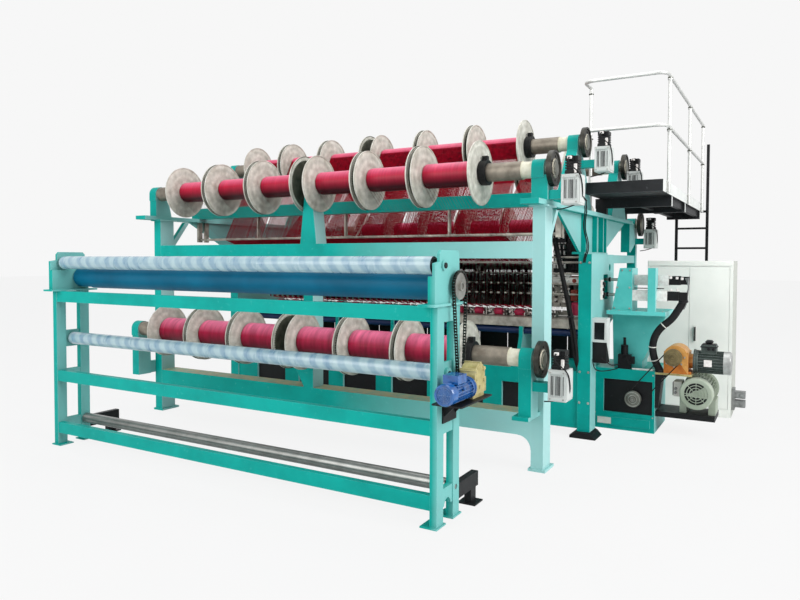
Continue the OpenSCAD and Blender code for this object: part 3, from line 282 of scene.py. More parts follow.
def feed(finish, socket, value):
    """Gives a socket a value, or links it to another node's output, told as (node, output)."""
    if isinstance(value, tuple) and isinstance(value[-1], str):
        node, output = value
        finish.node_tree.links.new(node.outputs[output], socket)
    else:
        socket.default_value = value


def add_node(finish, kind, output, sockets=None, **options):
    """A shader node with its options and what its sockets are fed, as (node, output)."""
    made = finish.node_tree.nodes.new("ShaderNode" + kind)
    for option, setting in options.items():
        setattr(made, option, setting)
    for socket, value in (sockets or {}).items():
        feed(finish, made.inputs[socket], value)
    return made, output


def new_finish(name, **surface):
    """A finish, its surface shader's sockets and its object coordinates."""
    finish = bpy.data.materials.new(name)
    finish.use_nodes = True
    surface_sockets = finish.node_tree.nodes["Principled BSDF"].inputs
    for socket, value in surface.items():
        surface_sockets[socket.replace("_", " ")].default_value = value
    return finish, surface_sockets, add_node(finish, "TexCoord", "Object")


def remap(finish, source, low, high, from_low=0.0, from_high=1.0):
    """The source spread from one pair of levels to another, and held between them."""
    return add_node(finish, "MapRange", "Result", {
        "Value": source, "From Min": from_low, "From Max": from_high, "To Min": low,
        "To Max": high,
    })


def mix(finish, share, first, second, kind="MIX"):
    sockets = {"Fac": share, "Color1": first, "Color2": second}
    return add_node(finish, "MixRGB", "Color", sockets, blend_type=kind)


def along(finish, space, axis):
    """One axis of the place on the piece (Object) or of the way that it looks (Normal)."""
    source = add_node(finish, "TexCoord", space)
    return add_node(finish, "SeparateXYZ", axis, {"Vector": source})


def ramp(finish, factor, stops):
    """Colours between their levels of the factor, from two or three (level, code) stops."""
    made, output = add_node(finish, "ValToRGB", "Color", {"Fac": factor})
    steps = made.color_ramp.elements
    for level, _ in stops[1:-1]:
        steps.new(level)
    for step, (level, code) in zip(steps, stops):
        step.position, step.color = level, colour(code)
    return made, output


def two_tones(finish, factor, first, second, low=0.35, high=0.65):
    return ramp(finish, factor, ((low, first), (high, second)))


def mottle(finish, where, size, detail, stretch=(1, 1, 1), turn=(0, 0, 0)):
    """Cloudy noise whose patches are size millimetres across."""
    sockets = {"Scale": stretch, "Rotation": turn, "Vector": where}
    spread = add_node(finish, "Mapping", "Vector", sockets)
    sockets = {"Scale": 1000 / size, "Detail": detail, "Roughness": 0.6, "Vector": spread}
    return add_node(finish, "TexNoise", "Fac", sockets)


def waves(finish, where, period, distortion, sockets, **options):
    """Soft bands or rings, period millimetres apart. The texture's own period is 2 pi / 20."""
    scale = 2 * math.pi * 1000 / 20 / period
    given = {"Scale": scale, "Distortion": distortion, "Vector": where, **sockets}
    return add_node(finish, "TexWave", "Fac", given, **options)


def set_relief(finish, surface, source, depth):
    """Relief of that depth in millimetres on the surface."""
    sockets = {"Strength": 0.6, "Distance": depth * MM, "Height": source}
    feed(finish, surface["Normal"], add_node(finish, "Bump", "Normal", sockets))


def set_rough(finish, surface, source, low, high):
    """Roughness that moves between two levels with the source."""
    feed(finish, surface["Roughness"], remap(finish, source, low, high))


def coated(name, tone, shade, dust_and_edge_highlight, rough=0.35, patch=320, grain=4, edge_wear_and_highlight=0.0, edge_width=5.0,
           gloss=0.2, side=None, painted_side_share=0.0, far_right_light=0.0, far_right_light_span=(-0.4, 1.5)):
    """Enamel or powder coat on metal: slow drift of tone, fine dust, orange-peel relief, and
    edges painted towards the worn tone, as wear and painted highlights. Faces that look to the
    machine's right can be painted towards the side tone, as painted light (painted shade where
    that tone is darker), and so can what lies far right, as painted light, by a share that grows
    up to fade over far_right_light_span, in metres."""
    finish, surface, where = new_finish(name, IOR=1.5, Specular_IOR_Level=gloss)
    drift = mottle(finish, where, patch, 3)
    dust = mottle(finish, where, 38, 6)
    peel = mottle(finish, where, grain, 2)
    specks = remap(finish, dust, 0, 0.28, 0.62, 0.8)
    last = mix(finish, specks, two_tones(finish, drift, shade, tone, 0.3, 0.62), colour(dust_and_edge_highlight))
    # Edges are painted towards the third tone: partly wear, partly painted highlights.
    if edge_wear_and_highlight:
        soft = add_node(finish, "Bevel", "Normal", {"Radius": edge_width * MM}, samples=3)
        hard = add_node(finish, "NewGeometry", "True Normal")
        match = add_node(finish, "VectorMath", "Value", {0: soft, 1: hard},
                         operation="DOT_PRODUCT")
        last = mix(finish, remap(finish, match, 0, edge_wear_and_highlight, 0.99, 0.9), last, colour(dust_and_edge_highlight))
    # Painted light: faces that look to the machine's right, and what lies far right, are painted
    # towards the side tone; where that tone is darker, as on the cabinet, it is painted shade.
    if side:
        right = remap(finish, along(finish, "Normal", "X"), 0, painted_side_share, 0.4, 1.0)
        painted_far_light = remap(finish, along(finish, "Object", "X"), 0, far_right_light, *far_right_light_span)
        painted_light_share = add_node(finish, "Math", "Value", {0: right, 1: painted_far_light}, operation="MAXIMUM")
        last = mix(finish, painted_light_share, last, colour(side))
    feed(finish, surface["Base Color"], last)
    set_rough(finish, surface, dust, rough - 0.07, rough + 0.12)
    set_relief(finish, surface, peel, 0.15)
    return finish


def bare_metal(name, tone, shade, rough=0.35, metallic=1.0):
    """Bare metal with fine tool marks and stains."""
    finish, surface, where = new_finish(name, Metallic=metallic)
    stain = mottle(finish, where, 120, 5)
    marks = mottle(finish, where, 2.5, 2)
    feed(finish, surface["Base Color"], two_tones(finish, stain, shade, tone))
    set_rough(finish, surface, marks, rough - 0.1, rough + 0.15)
    set_relief(finish, surface, marks, 0.08)
    return finish


def turned_flange(name, axis_point):
    """Cast and turned aluminium: dull, with stains and soft rings round the beam's axis."""
    finish, surface, where = new_finish(name, Metallic=0.2)
    stain = mottle(finish, where, 70, 6)
    sockets = {"Location": [-c for c in axis_point], "Vector": where}
    about = add_node(finish, "Mapping", "Vector", sockets)
    rings = waves(finish, about, 22 * math.pi, 0.6, {"Detail": 2.0}, wave_type="RINGS",
                  rings_direction="X")
    body = two_tones(finish, stain, "#b1aea1", "#dedcd2", 0.3, 0.66)
    ringed = mix(finish, 0.16, body, (rings[0], "Color"), "MULTIPLY")
    feed(finish, surface["Base Color"], ringed)
    set_rough(finish, surface, stain, 0.35, 0.6)
    set_relief(finish, surface, rings, 0.3)
    return finish


def wound_yarn(name, lit, tone, shade, line, rough, crease=0.13, slant=0.0):
    """Silky yarn on a beam: painted light on top, painted shade below, bands round it and creases.
    Single threads, 0.3 mm apart, would not show."""
    finish, surface, where = new_finish(name, IOR=1.45, Specular_IOR_Level=0.25)
    turns = waves(finish, where, 2 * math.pi * line, 1.2, {"Detail": 3.0, "Detail Scale": 2.0},
                  bands_direction="X")
    tension = mottle(finish, where, 45, 5, (1, 0.15, 0.15), (0, slant, slant))
    # Painted light and shade: faces that look up are painted towards the lit tone, faces that look
    # down towards the shade tone.
    height = remap(finish, along(finish, "Normal", "Z"), 0, 1, -1.0, 1.0)
    painted_light_and_shade = ramp(finish, height, ((0.15, shade), (0.6, tone), (0.97, lit)))
    fine = remap(finish, turns, 0.95, 1.03)
    slack = remap(finish, tension, 1 - crease, 1 + crease, 0.3, 0.7)
    both = add_node(finish, "Math", "Value", {0: fine, 1: slack}, operation="MULTIPLY")
    wound = add_node(finish, "HueSaturation", "Color", {"Value": both, "Color": painted_light_and_shade})
    feed(finish, surface["Base Color"], wound)
    set_rough(finish, surface, tension, rough - 0.08, rough + 0.12)
    set_relief(finish, surface, turns, 0.3)
    return finish


def wrapped_film(name, tone, shade):
    """Stretch film wound on a roll: cloudy, glossy, with overlaps that run round it at a slant."""
    finish, surface, where = new_finish(name, IOR=1.5, Coat_Weight=0.4)
    cloud = mottle(finish, where, 110, 5, (1, 0.35, 0.35), (0, 0, 0.5))
    lean = add_node(finish, "Mapping", "Vector", {"Rotation": (0, 0.5, 0.2), "Vector": where})
    laps = waves(finish, lean, 105, 1.2, {"Detail": 2.0}, bands_direction="X")
    body = two_tones(finish, cloud, shade, tone, 0.36, 0.6)
    lapped = two_tones(finish, laps, shade, tone, 0.2, 0.7)
    feed(finish, surface["Base Color"], mix(finish, 0.5, body, lapped))
    set_rough(finish, surface, cloud, 0.18, 0.4)
    set_relief(finish, surface, laps, 1.2)
    return finish


def patchwork(name, light, dark, size):
    """Small painted and blackened parts side by side, in patches size millimetres wide."""
    finish, surface, where = new_finish(name, Metallic=0.2)
    patch = mottle(finish, where, size, 1)
    feed(finish, surface["Base Color"], two_tones(finish, patch, dark, light, 0.46, 0.54))
    set_rough(finish, surface, patch, 0.3, 0.5)
    set_relief(finish, surface, patch, 0.2)
    return finish


# Where edges are given a share below, they are painted towards the third tone, as wear and painted
# highlights. The teal enamels are painted paler on faces that look to the machine's right, as
# painted light; the front legs' and the stand's enamels also grow paler towards the machine's
# right end, as painted light.
machine_enamel = coated("machine_enamel", "#00a097", "#009087", "#5cc8c0", 0.4, edge_wear_and_highlight=0.5,
                        gloss=0.12, side="#b4dcdd", painted_side_share=0.5)
painted_light_enamel = coated("painted_light_enamel", "#00a79d", "#00978d", "#7fd6cf", 0.4, edge_wear_and_highlight=0.5,
                         gloss=0.12, side="#bfe0e1", painted_side_share=0.72, far_right_light=0.6)
stand_enamel = coated("stand_enamel", "#009f95", "#008f86", "#5fc4bd", 0.4, edge_wear_and_highlight=0.5, gloss=0.12,
                      side="#a9d5d6", painted_side_share=0.42, far_right_light=0.5, far_right_light_span=(1.38, 1.44))
# The housing's enamel is a paler copy of the machine's teal: painted light.
lit_housing_enamel = coated("lit_housing_enamel", "#5fc6c1", "#4db7b2", "#a5dedb", 0.4, edge_wear_and_highlight=0.4,
                        gloss=0.15, side="#b4dcdd", painted_side_share=0.4)
black_enamel = coated("black_enamel", "#17181a", "#0e0f10", "#4a4b4d", 0.45, edge_wear_and_highlight=0.3)
white_powder_coat = coated("white_powder_coat", "#ced2cf", "#bcc0bd", "#989b99", 0.45)
# The cabinet's faces that look to the machine's right are painted grey: painted shade.
cabinet_powder_coat = coated("cabinet_powder_coat", "#fbfbf5", "#f1f2ec", "#d9d6c8", 0.5, 600,
                             side="#b9bcb4", painted_side_share=1.0)
blue_enamel = coated("blue_enamel", "#12599f", "#0a3d78", "#9cc2e2", 0.16, 60, edge_wear_and_highlight=0.4,
                     edge_width=2, gloss=0.7)
navy_enamel = coated("navy_enamel", "#1b2f57", "#142447", "#45608f", 0.35)
cream_enamel = coated("cream_enamel", "#b5a974", "#8c804d", "#ece5c4", 0.28, 60, edge_wear_and_highlight=0.5)
orange_enamel = coated("orange_enamel", "#c4762f", "#a35a22", "#dcae74", 0.4, 90, edge_wear_and_highlight=0.4)
# The worm gearbox's upper faces are painted a lighter orange: a painted highlight.
lit_gearbox_top = coated("lit_gearbox_top", "#cf9a55", "#b97c38", "#e6c690", 0.35, 60, edge_wear_and_highlight=0.5)
motor_enamel = coated("motor_enamel", "#a6af9f", "#8c9786", "#d0d6ca", 0.4)
checker_enamel = coated("checker_enamel", "#232426", "#17181a", "#77787a", 0.5, 200, edge_wear_and_highlight=0.4)
white_film = wrapped_film("stretch_film", "#a3bbc0", "#6f90a6")
blue_rubber = coated("roll_rubber", "#05698a", "#045573", "#247795", 0.45, 500, 2, gloss=0.15)
crimson_yarn = wound_yarn("crimson_yarn", "#dc6284", "#b30f35", "#3a0612", 5, 0.34)
loose_crimson_yarn = wound_yarn("loose_crimson_yarn", "#e06f92", "#a01038", "#420515", 9, 0.34,
                                0.34, 0.7)
oiled_steel = bare_metal("oiled_steel", "#b9b8b2", "#8d8c86", 0.32)
bright_pipe = bare_metal("bright_pipe", "#dcdcd9", "#c8c9c6", 0.32, 0.4)
dark_steel = bare_metal("dark_steel", "#4a4944", "#2b2a27", 0.4)
machined_iron = bare_metal("machined_iron", "#8b8c84", "#5f6059", 0.4)
dark_handle = coated("dark_handle", "#4c4d4b", "#3a3b39", "#9a9b98", 0.4, 30)
shaft_steel = bare_metal("shaft_steel", "#8f877a", "#6a6257", 0.45, 0.6)
black_rubber = coated("black_rubber", "#1a1a1b", "#101011", "#3a3a3a", 0.6, 90, 2)
# The nets' yarn is a darker copy of the crimson yarn: painted shade in the dense nets.
shaded_net_yarn = coated("shaded_net_yarn", "#86081c", "#550512", "#a83048", 0.7, 40, 3, gloss=0.02)
collar_enamel = coated("collar_enamel", "#d9d6c4", "#c4bfa8", "#efeee4", 0.4, 60)
pale_plastic = coated("pale_plastic", "#d6d6cf", "#c9c8c0", "#ecebe6", 0.5, 80)
grey_plastic = coated("grey_plastic", "#8f9190", "#7b7d7c", "#b6b8b7", 0.5, 60)
worm_motor_enamel = coated("worm_motor_enamel", "#4b5652", "#333c39", "#aab3ae", 0.35, 60,
                           edge_wear_and_highlight=0.6, edge_width=3)
silver_cowl = bare_metal("silver_cowl", "#b8bab8", "#8e908e", 0.35, 0.7)
dark_glass = coated("dark_glass", "#17191b", "#0f1112", "#333638", 0.12, 90)
pale_enamel = coated("pale_enamel", "#dcdedb", "#cfd2cf", "#b5b8b5", 0.45, 200)
worn_edge = coated("worn_edge", "#b9b08a", "#7fae9c", "#d9d0b0", 0.5, 60)
red_enamel = coated("red_enamel", "#b8242c", "#981c22", "#d8797c", 0.35, 60)
clamp_mix = patchwork("clamp_mix", "#efe8e0", "#2c211e", 30)
head_steel = bare_metal("head_steel", "#b8b2a6", "#77726a", 0.42, 0.3)
roll_steel = bare_metal("roll_steel", "#8f908d", "#7b7c79", 0.3, 0.8)
# Dark olive-grey: painted shade on the beams' flange faces in their gaps, and the real dark iron
# of the rail clamps.
dark_iron_and_gap_shade = coated("dark_iron_and_gap_shade", "#55564a", "#34352d", "#8c8b80", 0.55, 80)
brick_enamel = coated("brick_enamel", "#a34a3c", "#7d3229", "#d08a7c", 0.5, 40)
pink_plastic = coated("pink_plastic", "#c9385a", "#9c2443", "#f0a9b6", 0.4, 40)
white_plastic = coated("white_plastic", "#eeeae6", "#d8cfcb", "#b9a5a2", 0.45, 30)
# A brighter copy of the nets' yarn for the hanging threads: painted light.
lit_hanging_yarn = coated("lit_hanging_yarn", "#f0294c", "#c01a38", "#f08aa0", 0.6, 60, 3, gloss=0.05)
bronze = bare_metal("bronze", "#8d7d55", "#4f452c", 0.4, 0.5)
belt_rubber = coated("belt_rubber", "#54504a", "#45413b", "#8a857c", 0.6, 60, 2)

# solids with one finish all over; those with several are dressed face by face further on
FINISH_OF = {
    stand_enamel: "stand_frame roll_cheeks",
    machine_enamel: "yarn_tie_beam side_arms side_walls rear_columns machine_bed beam_pedestals "
    "base_box",
    painted_light_enamel: "front_legs",
    lit_housing_enamel: "shog_housing",
    black_enamel: "stand_brackets black_panels levelling_feet letoff_servos ladder",
    oiled_steel: "drive_sprocket gearbox_sprocket shog_rod_front shog_rod_rear",
    roll_steel: "batch_roll",
    head_steel: "swing_frame guide_bar_front guide_bar_rear knitting_rails needle_bar",
    dark_steel: "roller_chain",
    blue_enamel: "takeup_motor",
    navy_enamel: "takedown_roll",
    cream_enamel: "takeup_gearbox",
    crimson_yarn: "upper_front_yarn upper_middle_yarn upper_rear_yarn low_rear_yarn yarn_sheets",
    loose_crimson_yarn: "lower_front_yarn",
    white_powder_coat: "letoff_gearboxes",
    bright_pipe: "handrail",
    machined_iron: "main_pulley",
    bronze: "gearbox_pulley",
    black_rubber: "cable_hose",
    cabinet_powder_coat: "cabinet_door_left cabinet_door_right",
    dark_handle: "cabinet_handle",
}
for finish, names in FINISH_OF.items():
    for name in names.split():
        paint(nodes[name], finish)


# ---- faces that differ on one solid

# each warp beam: its shift along the axis, its drive wheel's place and its let-off's left side
BEAMS = {
    "upper_front": (-109, 2202, 2308),
    "upper_middle": (-155, 2127, 2250),
    "upper_rear": (-120, 2202, 2262),
    "low_rear": (-110, 2202, 2275),
    "lower_front": (-109, 2202, 2300),
}
SECTIONS, SECTION_W = (-1724, -1161, -598, 70, 633, 1196), 528
SHAFT_R, HUB_R, COLLAR_L, YARN_R = 75, 62, 240, 105
FLANGE, SHAFT, CLAMP, WHEEL, HUB, COLLAR, GAP_SHADE = range(7)
FACING = 0.9  # least share of a normal along the axis that its face looks along


def dress(node, finishes, choose):
    """Gives each face of a solid a finish: choose(middle in mm, normal) is its number."""
    obj = nodes[node]
    paint(obj, *finishes)
    for face in obj.data.polygons:
        face.material_index = int(choose((face.center - HOME) / MM, face.normal))


def yarn_middle(beam):
    lo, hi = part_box(beam + "_yarn")
    return (Vector(lo) + Vector(hi)) / 2


def dress_beam(beam):
    axis = (yarn_middle(beam) - HOME) / MM
    shift, wheel, _ = BEAMS[beam]
    starts = [start + shift for start in SECTIONS]
    ends = [start + SECTION_W for start in starts]

    def choose(place, normal):
        x = place.x
        reach = math.hypot(place.y - axis.y, place.z - axis.z)
        round_face = abs(normal.x) < FACING
        if reach < SHAFT_R + 4 and round_face:
            return COLLAR if x > wheel - COLLAR_L and reach < SHAFT_R - 2 else SHAFT
        if x > wheel - 6:
            return WHEEL if round_face or reach > HUB_R else HUB
        if x > ends[-1] + 2 or x < starts[0] - 2:
            return CLAMP if reach > SHAFT_R + 4 else COLLAR
        # Flange faces that look into the gaps between sections are painted dark olive-grey:
        # painted shade.
        return GAP_SHADE if any(abs(x - side) < 1 for side in ends[:-1] + starts[1:]) else FLANGE

    flange = turned_flange(beam + "_flange", yarn_middle(beam))
    dress(beam + "_beam", (flange, shaft_steel, black_enamel, dark_steel, machined_iron,
                           collar_enamel, dark_iron_and_gap_shade), choose)


for beam in BEAMS:
    dress_beam(beam)

MAIN_MOTOR, MAIN_PULLEY, WORM_WHEEL = (3093, 573, 424), (2536, 527, 326), (2893, 527, 753)
OIL_BOX_LOW, OIL_BOX_RIGHT, OIL_BOX_FRONT = 900.5, 2372, 158.6


def motor_part(p, n):
    """The two motors: the worm's one is the higher, with a bright cowl at its right end."""
    if p.x > 3045 and p.z > 585:
        return 4 if p.x > 3298 else 3
    off_axis = math.hypot(p.x - MAIN_MOTOR[0], p.z - MAIN_MOTOR[2])
    if n.y < -FACING and 574 < p.y < 578.5 and off_axis > 45:
        return 1
    return 1 if p.z < 215.5 else 2 if p.x < 2950 else 0


def gearbox_part(p, n):
    """The worm gearbox: its shelf, its foot, its lighter upper faces (a painted highlight) and its
    body.
    """
    if p.z < 594.5:
        return 2 if p.z < 575 else 1
    return 3 if p.z > WORM_WHEEL[2] - 1 or n.y < -FACING and p.z > 700 else 0


def oil_part(p, n):
    """The oil unit: a white box with a window over a black one."""
    if p.z <= OIL_BOX_LOW or p.x >= OIL_BOX_RIGHT:
        return 1
    front = p.y < OIL_BOX_FRONT
    if not (front and 926 < p.z < 1084 and 2258 < p.x < 2352):
        return 0
    return 2


ROLL_MIDDLE, FILM_HALF, TAKEUP_ROLL, TAKEUP_CORE_R = 60, 1840, (-2280, 1495), 60
RODS_END, PLATFORM_SIDE, CABINET_SIDE, BEAM_LEDGE = 2830.5, 2799.5, 3312, (440, 460)
for name, finishes, part_of in (
    ("drive_motors",
     (motor_enamel, black_enamel, pale_plastic, worm_motor_enamel, silver_cowl), motor_part),
    ("worm_gearbox", (orange_enamel, cream_enamel, black_enamel, lit_gearbox_top), gearbox_part),
    ("shog_actuators", (white_plastic, black_enamel), lambda p, n: p.x > RODS_END),
    ("lubrication_unit", (white_powder_coat, black_enamel, dark_glass), oil_part),
    ("v_belt", (belt_rubber, black_rubber), lambda p, n: abs(n.y) > 0.5),
    ("platform", (checker_enamel, pale_enamel), lambda p, n: p.x > PLATFORM_SIDE and n.x > 0.5),
    ("press_roll", (white_film, black_enamel), lambda p, n: abs(p.x - ROLL_MIDDLE) > FILM_HALF),
    ("guide_roll", (white_film, black_enamel), lambda p, n: abs(p.x - ROLL_MIDDLE) > FILM_HALF),
    ("takeup_roll", (blue_rubber, oiled_steel),
     lambda p, n: math.dist((p.y, p.z), TAKEUP_ROLL) < TAKEUP_CORE_R),
    ("front_cross_beams", (painted_light_enamel, worn_edge),
     lambda p, n: n.z > 0.95 and BEAM_LEDGE[0] < p.z < BEAM_LEDGE[1]),
    ("cabinet_body", (cabinet_powder_coat, grey_plastic), lambda p, n: p.x > CABINET_SIDE),
):
    dress(name, finishes, part_of)


# ---- yarn in the air

RETURN_R, LEASE_R, SHEET_T, SOFT_GAP = 12, 10, 3, 0.4
RETURN_RODS = ((-450, 1890), (-350, 1890))
FRONT_LEASE, REAR_LEASE = (300, 1640), (410, 1690)
NET_LOW = 1204
THREAD_ENDS = ((546, 1174), (546, 1166))
THREAD_R, THREAD_PITCH, THREAD_LOW, THREAD_TOP = 1.9, 6.5, -0.8, 1.4
BEAM_PITCH, BEAM_HALF, BEAM_FAN, SELVEDGE = 6.2, 2.5, 1.22, 36
LEADS_FROM, LEAD_PITCH, LEAD_W, LEAD_COUNT, EYE_SHARE = -2000, 81, 72, 49, 0.45
YARN_EDGE = (-1793, 1575)


def tangent(a, ra, b, rb):
    """The two ends of a thread that leaves circle ra at a and touches circle rb at b."""
    start, end = ra + SOFT_GAP, rb - SOFT_GAP - SHEET_T if rb < 0 else rb + SOFT_GAP
    reach = math.dist(a, b)
    turn = math.atan2(b[1] - a[1], b[0] - a[0]) - math.pi / 2 + math.asin((start - end) / reach)
    way = (math.cos(turn), math.sin(turn))
    return [(c[0] + r * way[0], c[1] + r * way[1]) for c, r in ((a, start), (b, end))]


def add_threads(mesh, route, lo, hi, pitch=THREAD_PITCH, wander=3.0, bunch=0.0, half=THREAD_R,
                fan=1.0):
    """Threads side by side from lo to hi across the machine, along a route of (back, up) places.
    Past its start a bunch share draws them together at each guide, and a fan spreads them."""
    count = int((hi - lo) / pitch)
    for k in range(count + 1):
        x = lo + (hi - lo) * k / count
        rows = []
        for n, (y, z) in enumerate(route):
            slip = random.uniform(-wander, wander) if 0 < n else 0
            lead = math.floor((x - LEADS_FROM) / LEAD_PITCH)
            guide = LEADS_FROM + LEAD_PITCH * (lead + EYE_SHARE)
            pull = (bunch * (guide - x) + (fan - 1) * (x - (lo + hi) / 2)) * min(n, 1)
            rows.append([mesh.verts.new(spot(x + slip + pull + dx, y, z + dz))
                         for dx, dz in ((-half, THREAD_LOW), (half, THREAD_LOW), (0, THREAD_TOP))])
        add_prism(mesh, rows)


random.seed(11)
threads = bmesh.new()
axis_of = {beam: tuple(((yarn_middle(beam) - HOME) / MM)[1:]) for beam in BEAMS}
for beam, bend, bend_r in (("upper_front", RETURN_RODS[0], RETURN_R),
                           ("upper_middle", RETURN_RODS[1], RETURN_R),
                           ("upper_rear", REAR_LEASE, LEASE_R)):
    # the front beam's threads hang loose: few, thin and astray
    pitch, wander, half = (26, 14, 1.1) if beam == "upper_front" else (BEAM_PITCH, 3, BEAM_HALF)
    for start in SECTIONS:
        lo = start + BEAMS[beam][0] + SELVEDGE
        add_threads(threads, tangent(axis_of[beam], YARN_R, bend, bend_r), lo,
                    lo + SECTION_W - 2 * SELVEDGE, pitch, wander, half=half, fan=BEAM_FAN)
for bend in RETURN_RODS:
    add_threads(threads, tangent(bend, RETURN_R, FRONT_LEASE, -LEASE_R), *YARN_EDGE, BEAM_PITCH, 5,
                half=2.8)
for y, z, tip in ((FRONT_LEASE[0] + LEASE_R + 1, FRONT_LEASE[1], THREAD_ENDS[0]),
                  (REAR_LEASE[0] - LEASE_R - 1, REAR_LEASE[1], THREAD_ENDS[1])):
    add_threads(threads, ((y, z), (y, NET_LOW), tip), *YARN_EDGE, bunch=0.5)
nets = fit(mesh_piece("yarn_nets", threads), shaded_net_yarn)
nets.data.materials.append(lit_hanging_yarn)
# The threads that hang down behind the front lease take the brighter copy of the yarn: painted
# light.
for face in nets.data.polygons:
    place = (face.center - HOME) / MM
    face.material_index = int(place.y > FRONT_LEASE[0] and place.z < FRONT_LEASE[1] - 2)
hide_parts("yarn_sheets")


# ---- the hose and its glands


def gland(x, y, z, way):
    """A ribbed gland nut round an end of the hose, its lip on the side that way tells."""
    return [rod((x, y, z), HOSE_R + 9, 22, "z", 12, 2),
            rod((x, y, z + way * 13), HOSE_R + 3, 8, "z", 32, 1)]


add_piece("hose_glands", gland(2967, 605, 1281, -1) + gland(2763, 640, 604, 1), black_enamel)
hose.data.materials.append(black_rubber)
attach(hose, "root")
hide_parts("cable_hose")
ties = []
for k in (5, 8, 10):
    tie = rod(HOSE_ROUTE[k], HOSE_R + 3, 9, "x", 24, 1)
    lie = Vector(HOSE_ROUTE[k + 1]) - Vector(HOSE_ROUTE[k - 1])
    bpy.ops.object.origin_set(type="ORIGIN_GEOMETRY")
    tie.rotation_euler = Vector((1, 0, 0)).rotation_difference(lie).to_euler()
    ties.append(settle())
add_piece("hose_ties", ties, pale_plastic)


# ---- knitting head

LEADS = [LEADS_FROM + LEAD_PITCH * k for k in range(LEAD_COUNT)]
MIDDLES = [lead + LEAD_W / 2 for lead in LEADS]
HEAD_SPAN = (-2140, 2120)
BAR_FRONT_Y, BAR_REAR_Y, KNIT_Y = 605, 695, 650
PINS, PIN_R = 11, 0.9


def comb(name, y, low, high, finish, body):
    """A row of fine upright pins, so many to each lead."""
    mesh = bmesh.new()
    for lead in LEADS:
        for n in range(PINS):
            x = lead + (n + 0.5) * LEAD_W / PINS
            add_prism(mesh, [[mesh.verts.new(spot(x + dx, y + dy, z)) for dx, dy in
                              ((-PIN_R, -PIN_R), (PIN_R, -PIN_R), (0, PIN_R))]
                             for z in (low, high)])
    fit(mesh_piece(name, mesh), finish, body)


comb("guide_needles_front", BAR_FRONT_Y, 1158, 1187, oiled_steel, "guide_bar_front")
comb("guide_needles_rear", BAR_REAR_Y, 1158, 1187, oiled_steel, "guide_bar_rear")
comb("knitting_needles", KNIT_Y, 1144, 1156, head_steel, "needle_bar")

for body, y, out in (("guide_bar_front", BAR_FRONT_Y, -1), ("guide_bar_rear", BAR_REAR_Y, 1)):
    face = y + out * 15
    add_piece(body + "_clamps", row([
        bar((-16, 16), sorted((face, face + out * 12)), (1232, 1300), 2),
        bar((-11, 11), sorted((face, face + out * 20)), (1316, 1350), 2),
        rod((0, face + out * 16, 1266), 8, 10, "y", 12, 1),
        rod((0, face + out * 10, 1400), 11, 22, "y", 14, 1),
    ], MIDDLES), clamp_mix, body)
    add_piece(body + "_end_block", [
        bar((2050, 2085), span(y, 34), (1368, 1432), 3),
        bar((1990, 2050), span(y, 38), (1395, 1415), 2),
    ], red_enamel, body)

add_piece("thread_guides", row([
    bar((-13, 13), (436, 512), (1446, 1474), 2),
    bar((-8, 8), (484, 506), (1318, 1446), 2),
    rod((0, 495, 1312), 13, 22, "x", 14, 1),
    rod((0, 446, 1460), 8, 40, "x", 12, 1),
], MIDDLES), clamp_mix)
add_piece("guide_rail", [
    bar(HEAD_SPAN, (424, 436), (1436, 1484), 2),
    bar(HEAD_SPAN, (412, 424), (1480, 1492), 1),
], oiled_steel)
add_piece("thread_guide_nuts", row([rod((0, 418, 1460), 9, 14, "y", 6, 1)], MIDDLES),
          oiled_steel)


# ---- warp beam let-offs

UNIT_W, UNIT_D, UNIT_H, UNIT_DROP, COVER_T = 135, 170, 230, 60, 7

covers, screws, plugs, wires, slits = [], [], [], [], []
for beam, (_, _, left) in BEAMS.items():
    y, z = axis_of[beam]
    top = z - UNIT_DROP
    front, low, right = y - UNIT_D / 2, top - UNIT_H, left + UNIT_W
    mid = left + UNIT_W / 2
    covers += [
        bar((left + 6, right - 6), (front - COVER_T, front), (top - 28, top - 6), 2),
        bar((left + 6, right - 6), (front - COVER_T, front), (low + 6, low + 30), 2),
        bar((right, right + 6), span(y, UNIT_D - 24), (low + 14, top - 14), 2),
    ]
    screws += grid((left + 18, right - 18), (front - COVER_T - 1,), (top - 17, low + 18))
    plugs += [
        bar((mid - 20, mid + 14), (y - 104, y - 84), (top + 112, top + 134), 3),
        bar((mid + 20, mid + 44), (y - 62, y - 49), (top + 30, top + 78), 3),
        rod((mid + 32, y - 55.5, top + 20), 9, 22, "z", 16, 1.5),
    ]
    slits += [bar((left + x, left + x + 5), (front - 1.5, front + 2), (low + 46, top - 44), 0.5)
              for x in (24, 34, 58, 68, 78, 88, 112)]
    wires.append((
        (mid - 3, y - 104, top + 122), (mid - 3, y - 130, top + 118), (mid - 6, y - 138, top + 70),
        (right + 10, y - 118, top + 10), (right + 14, y - 40, top - 60), (right + 10, y, low + 30),
        (left + 20, y + 10, low - 22), (left - 60, y + 20, low - 30),
    ))
add_piece("letoff_covers", covers, white_powder_coat)
add_piece("letoff_slits", slits, black_enamel)
add_bolts("letoff_screws", 5, FORWARD, screws)
add_piece("servo_plugs", plugs, white_plastic)


def add_wires(name, routes, radius, finish=black_rubber):
    """Wires along their routes, as one piece."""
    pieces = []
    for route in routes:
        take(add_tube("wire", route, radius, 2))
        bpy.ops.object.convert(target="MESH")
        pieces.append(bpy.context.object)
    add_piece(name, pieces, finish)


add_wires("servo_leads", wires, 5)

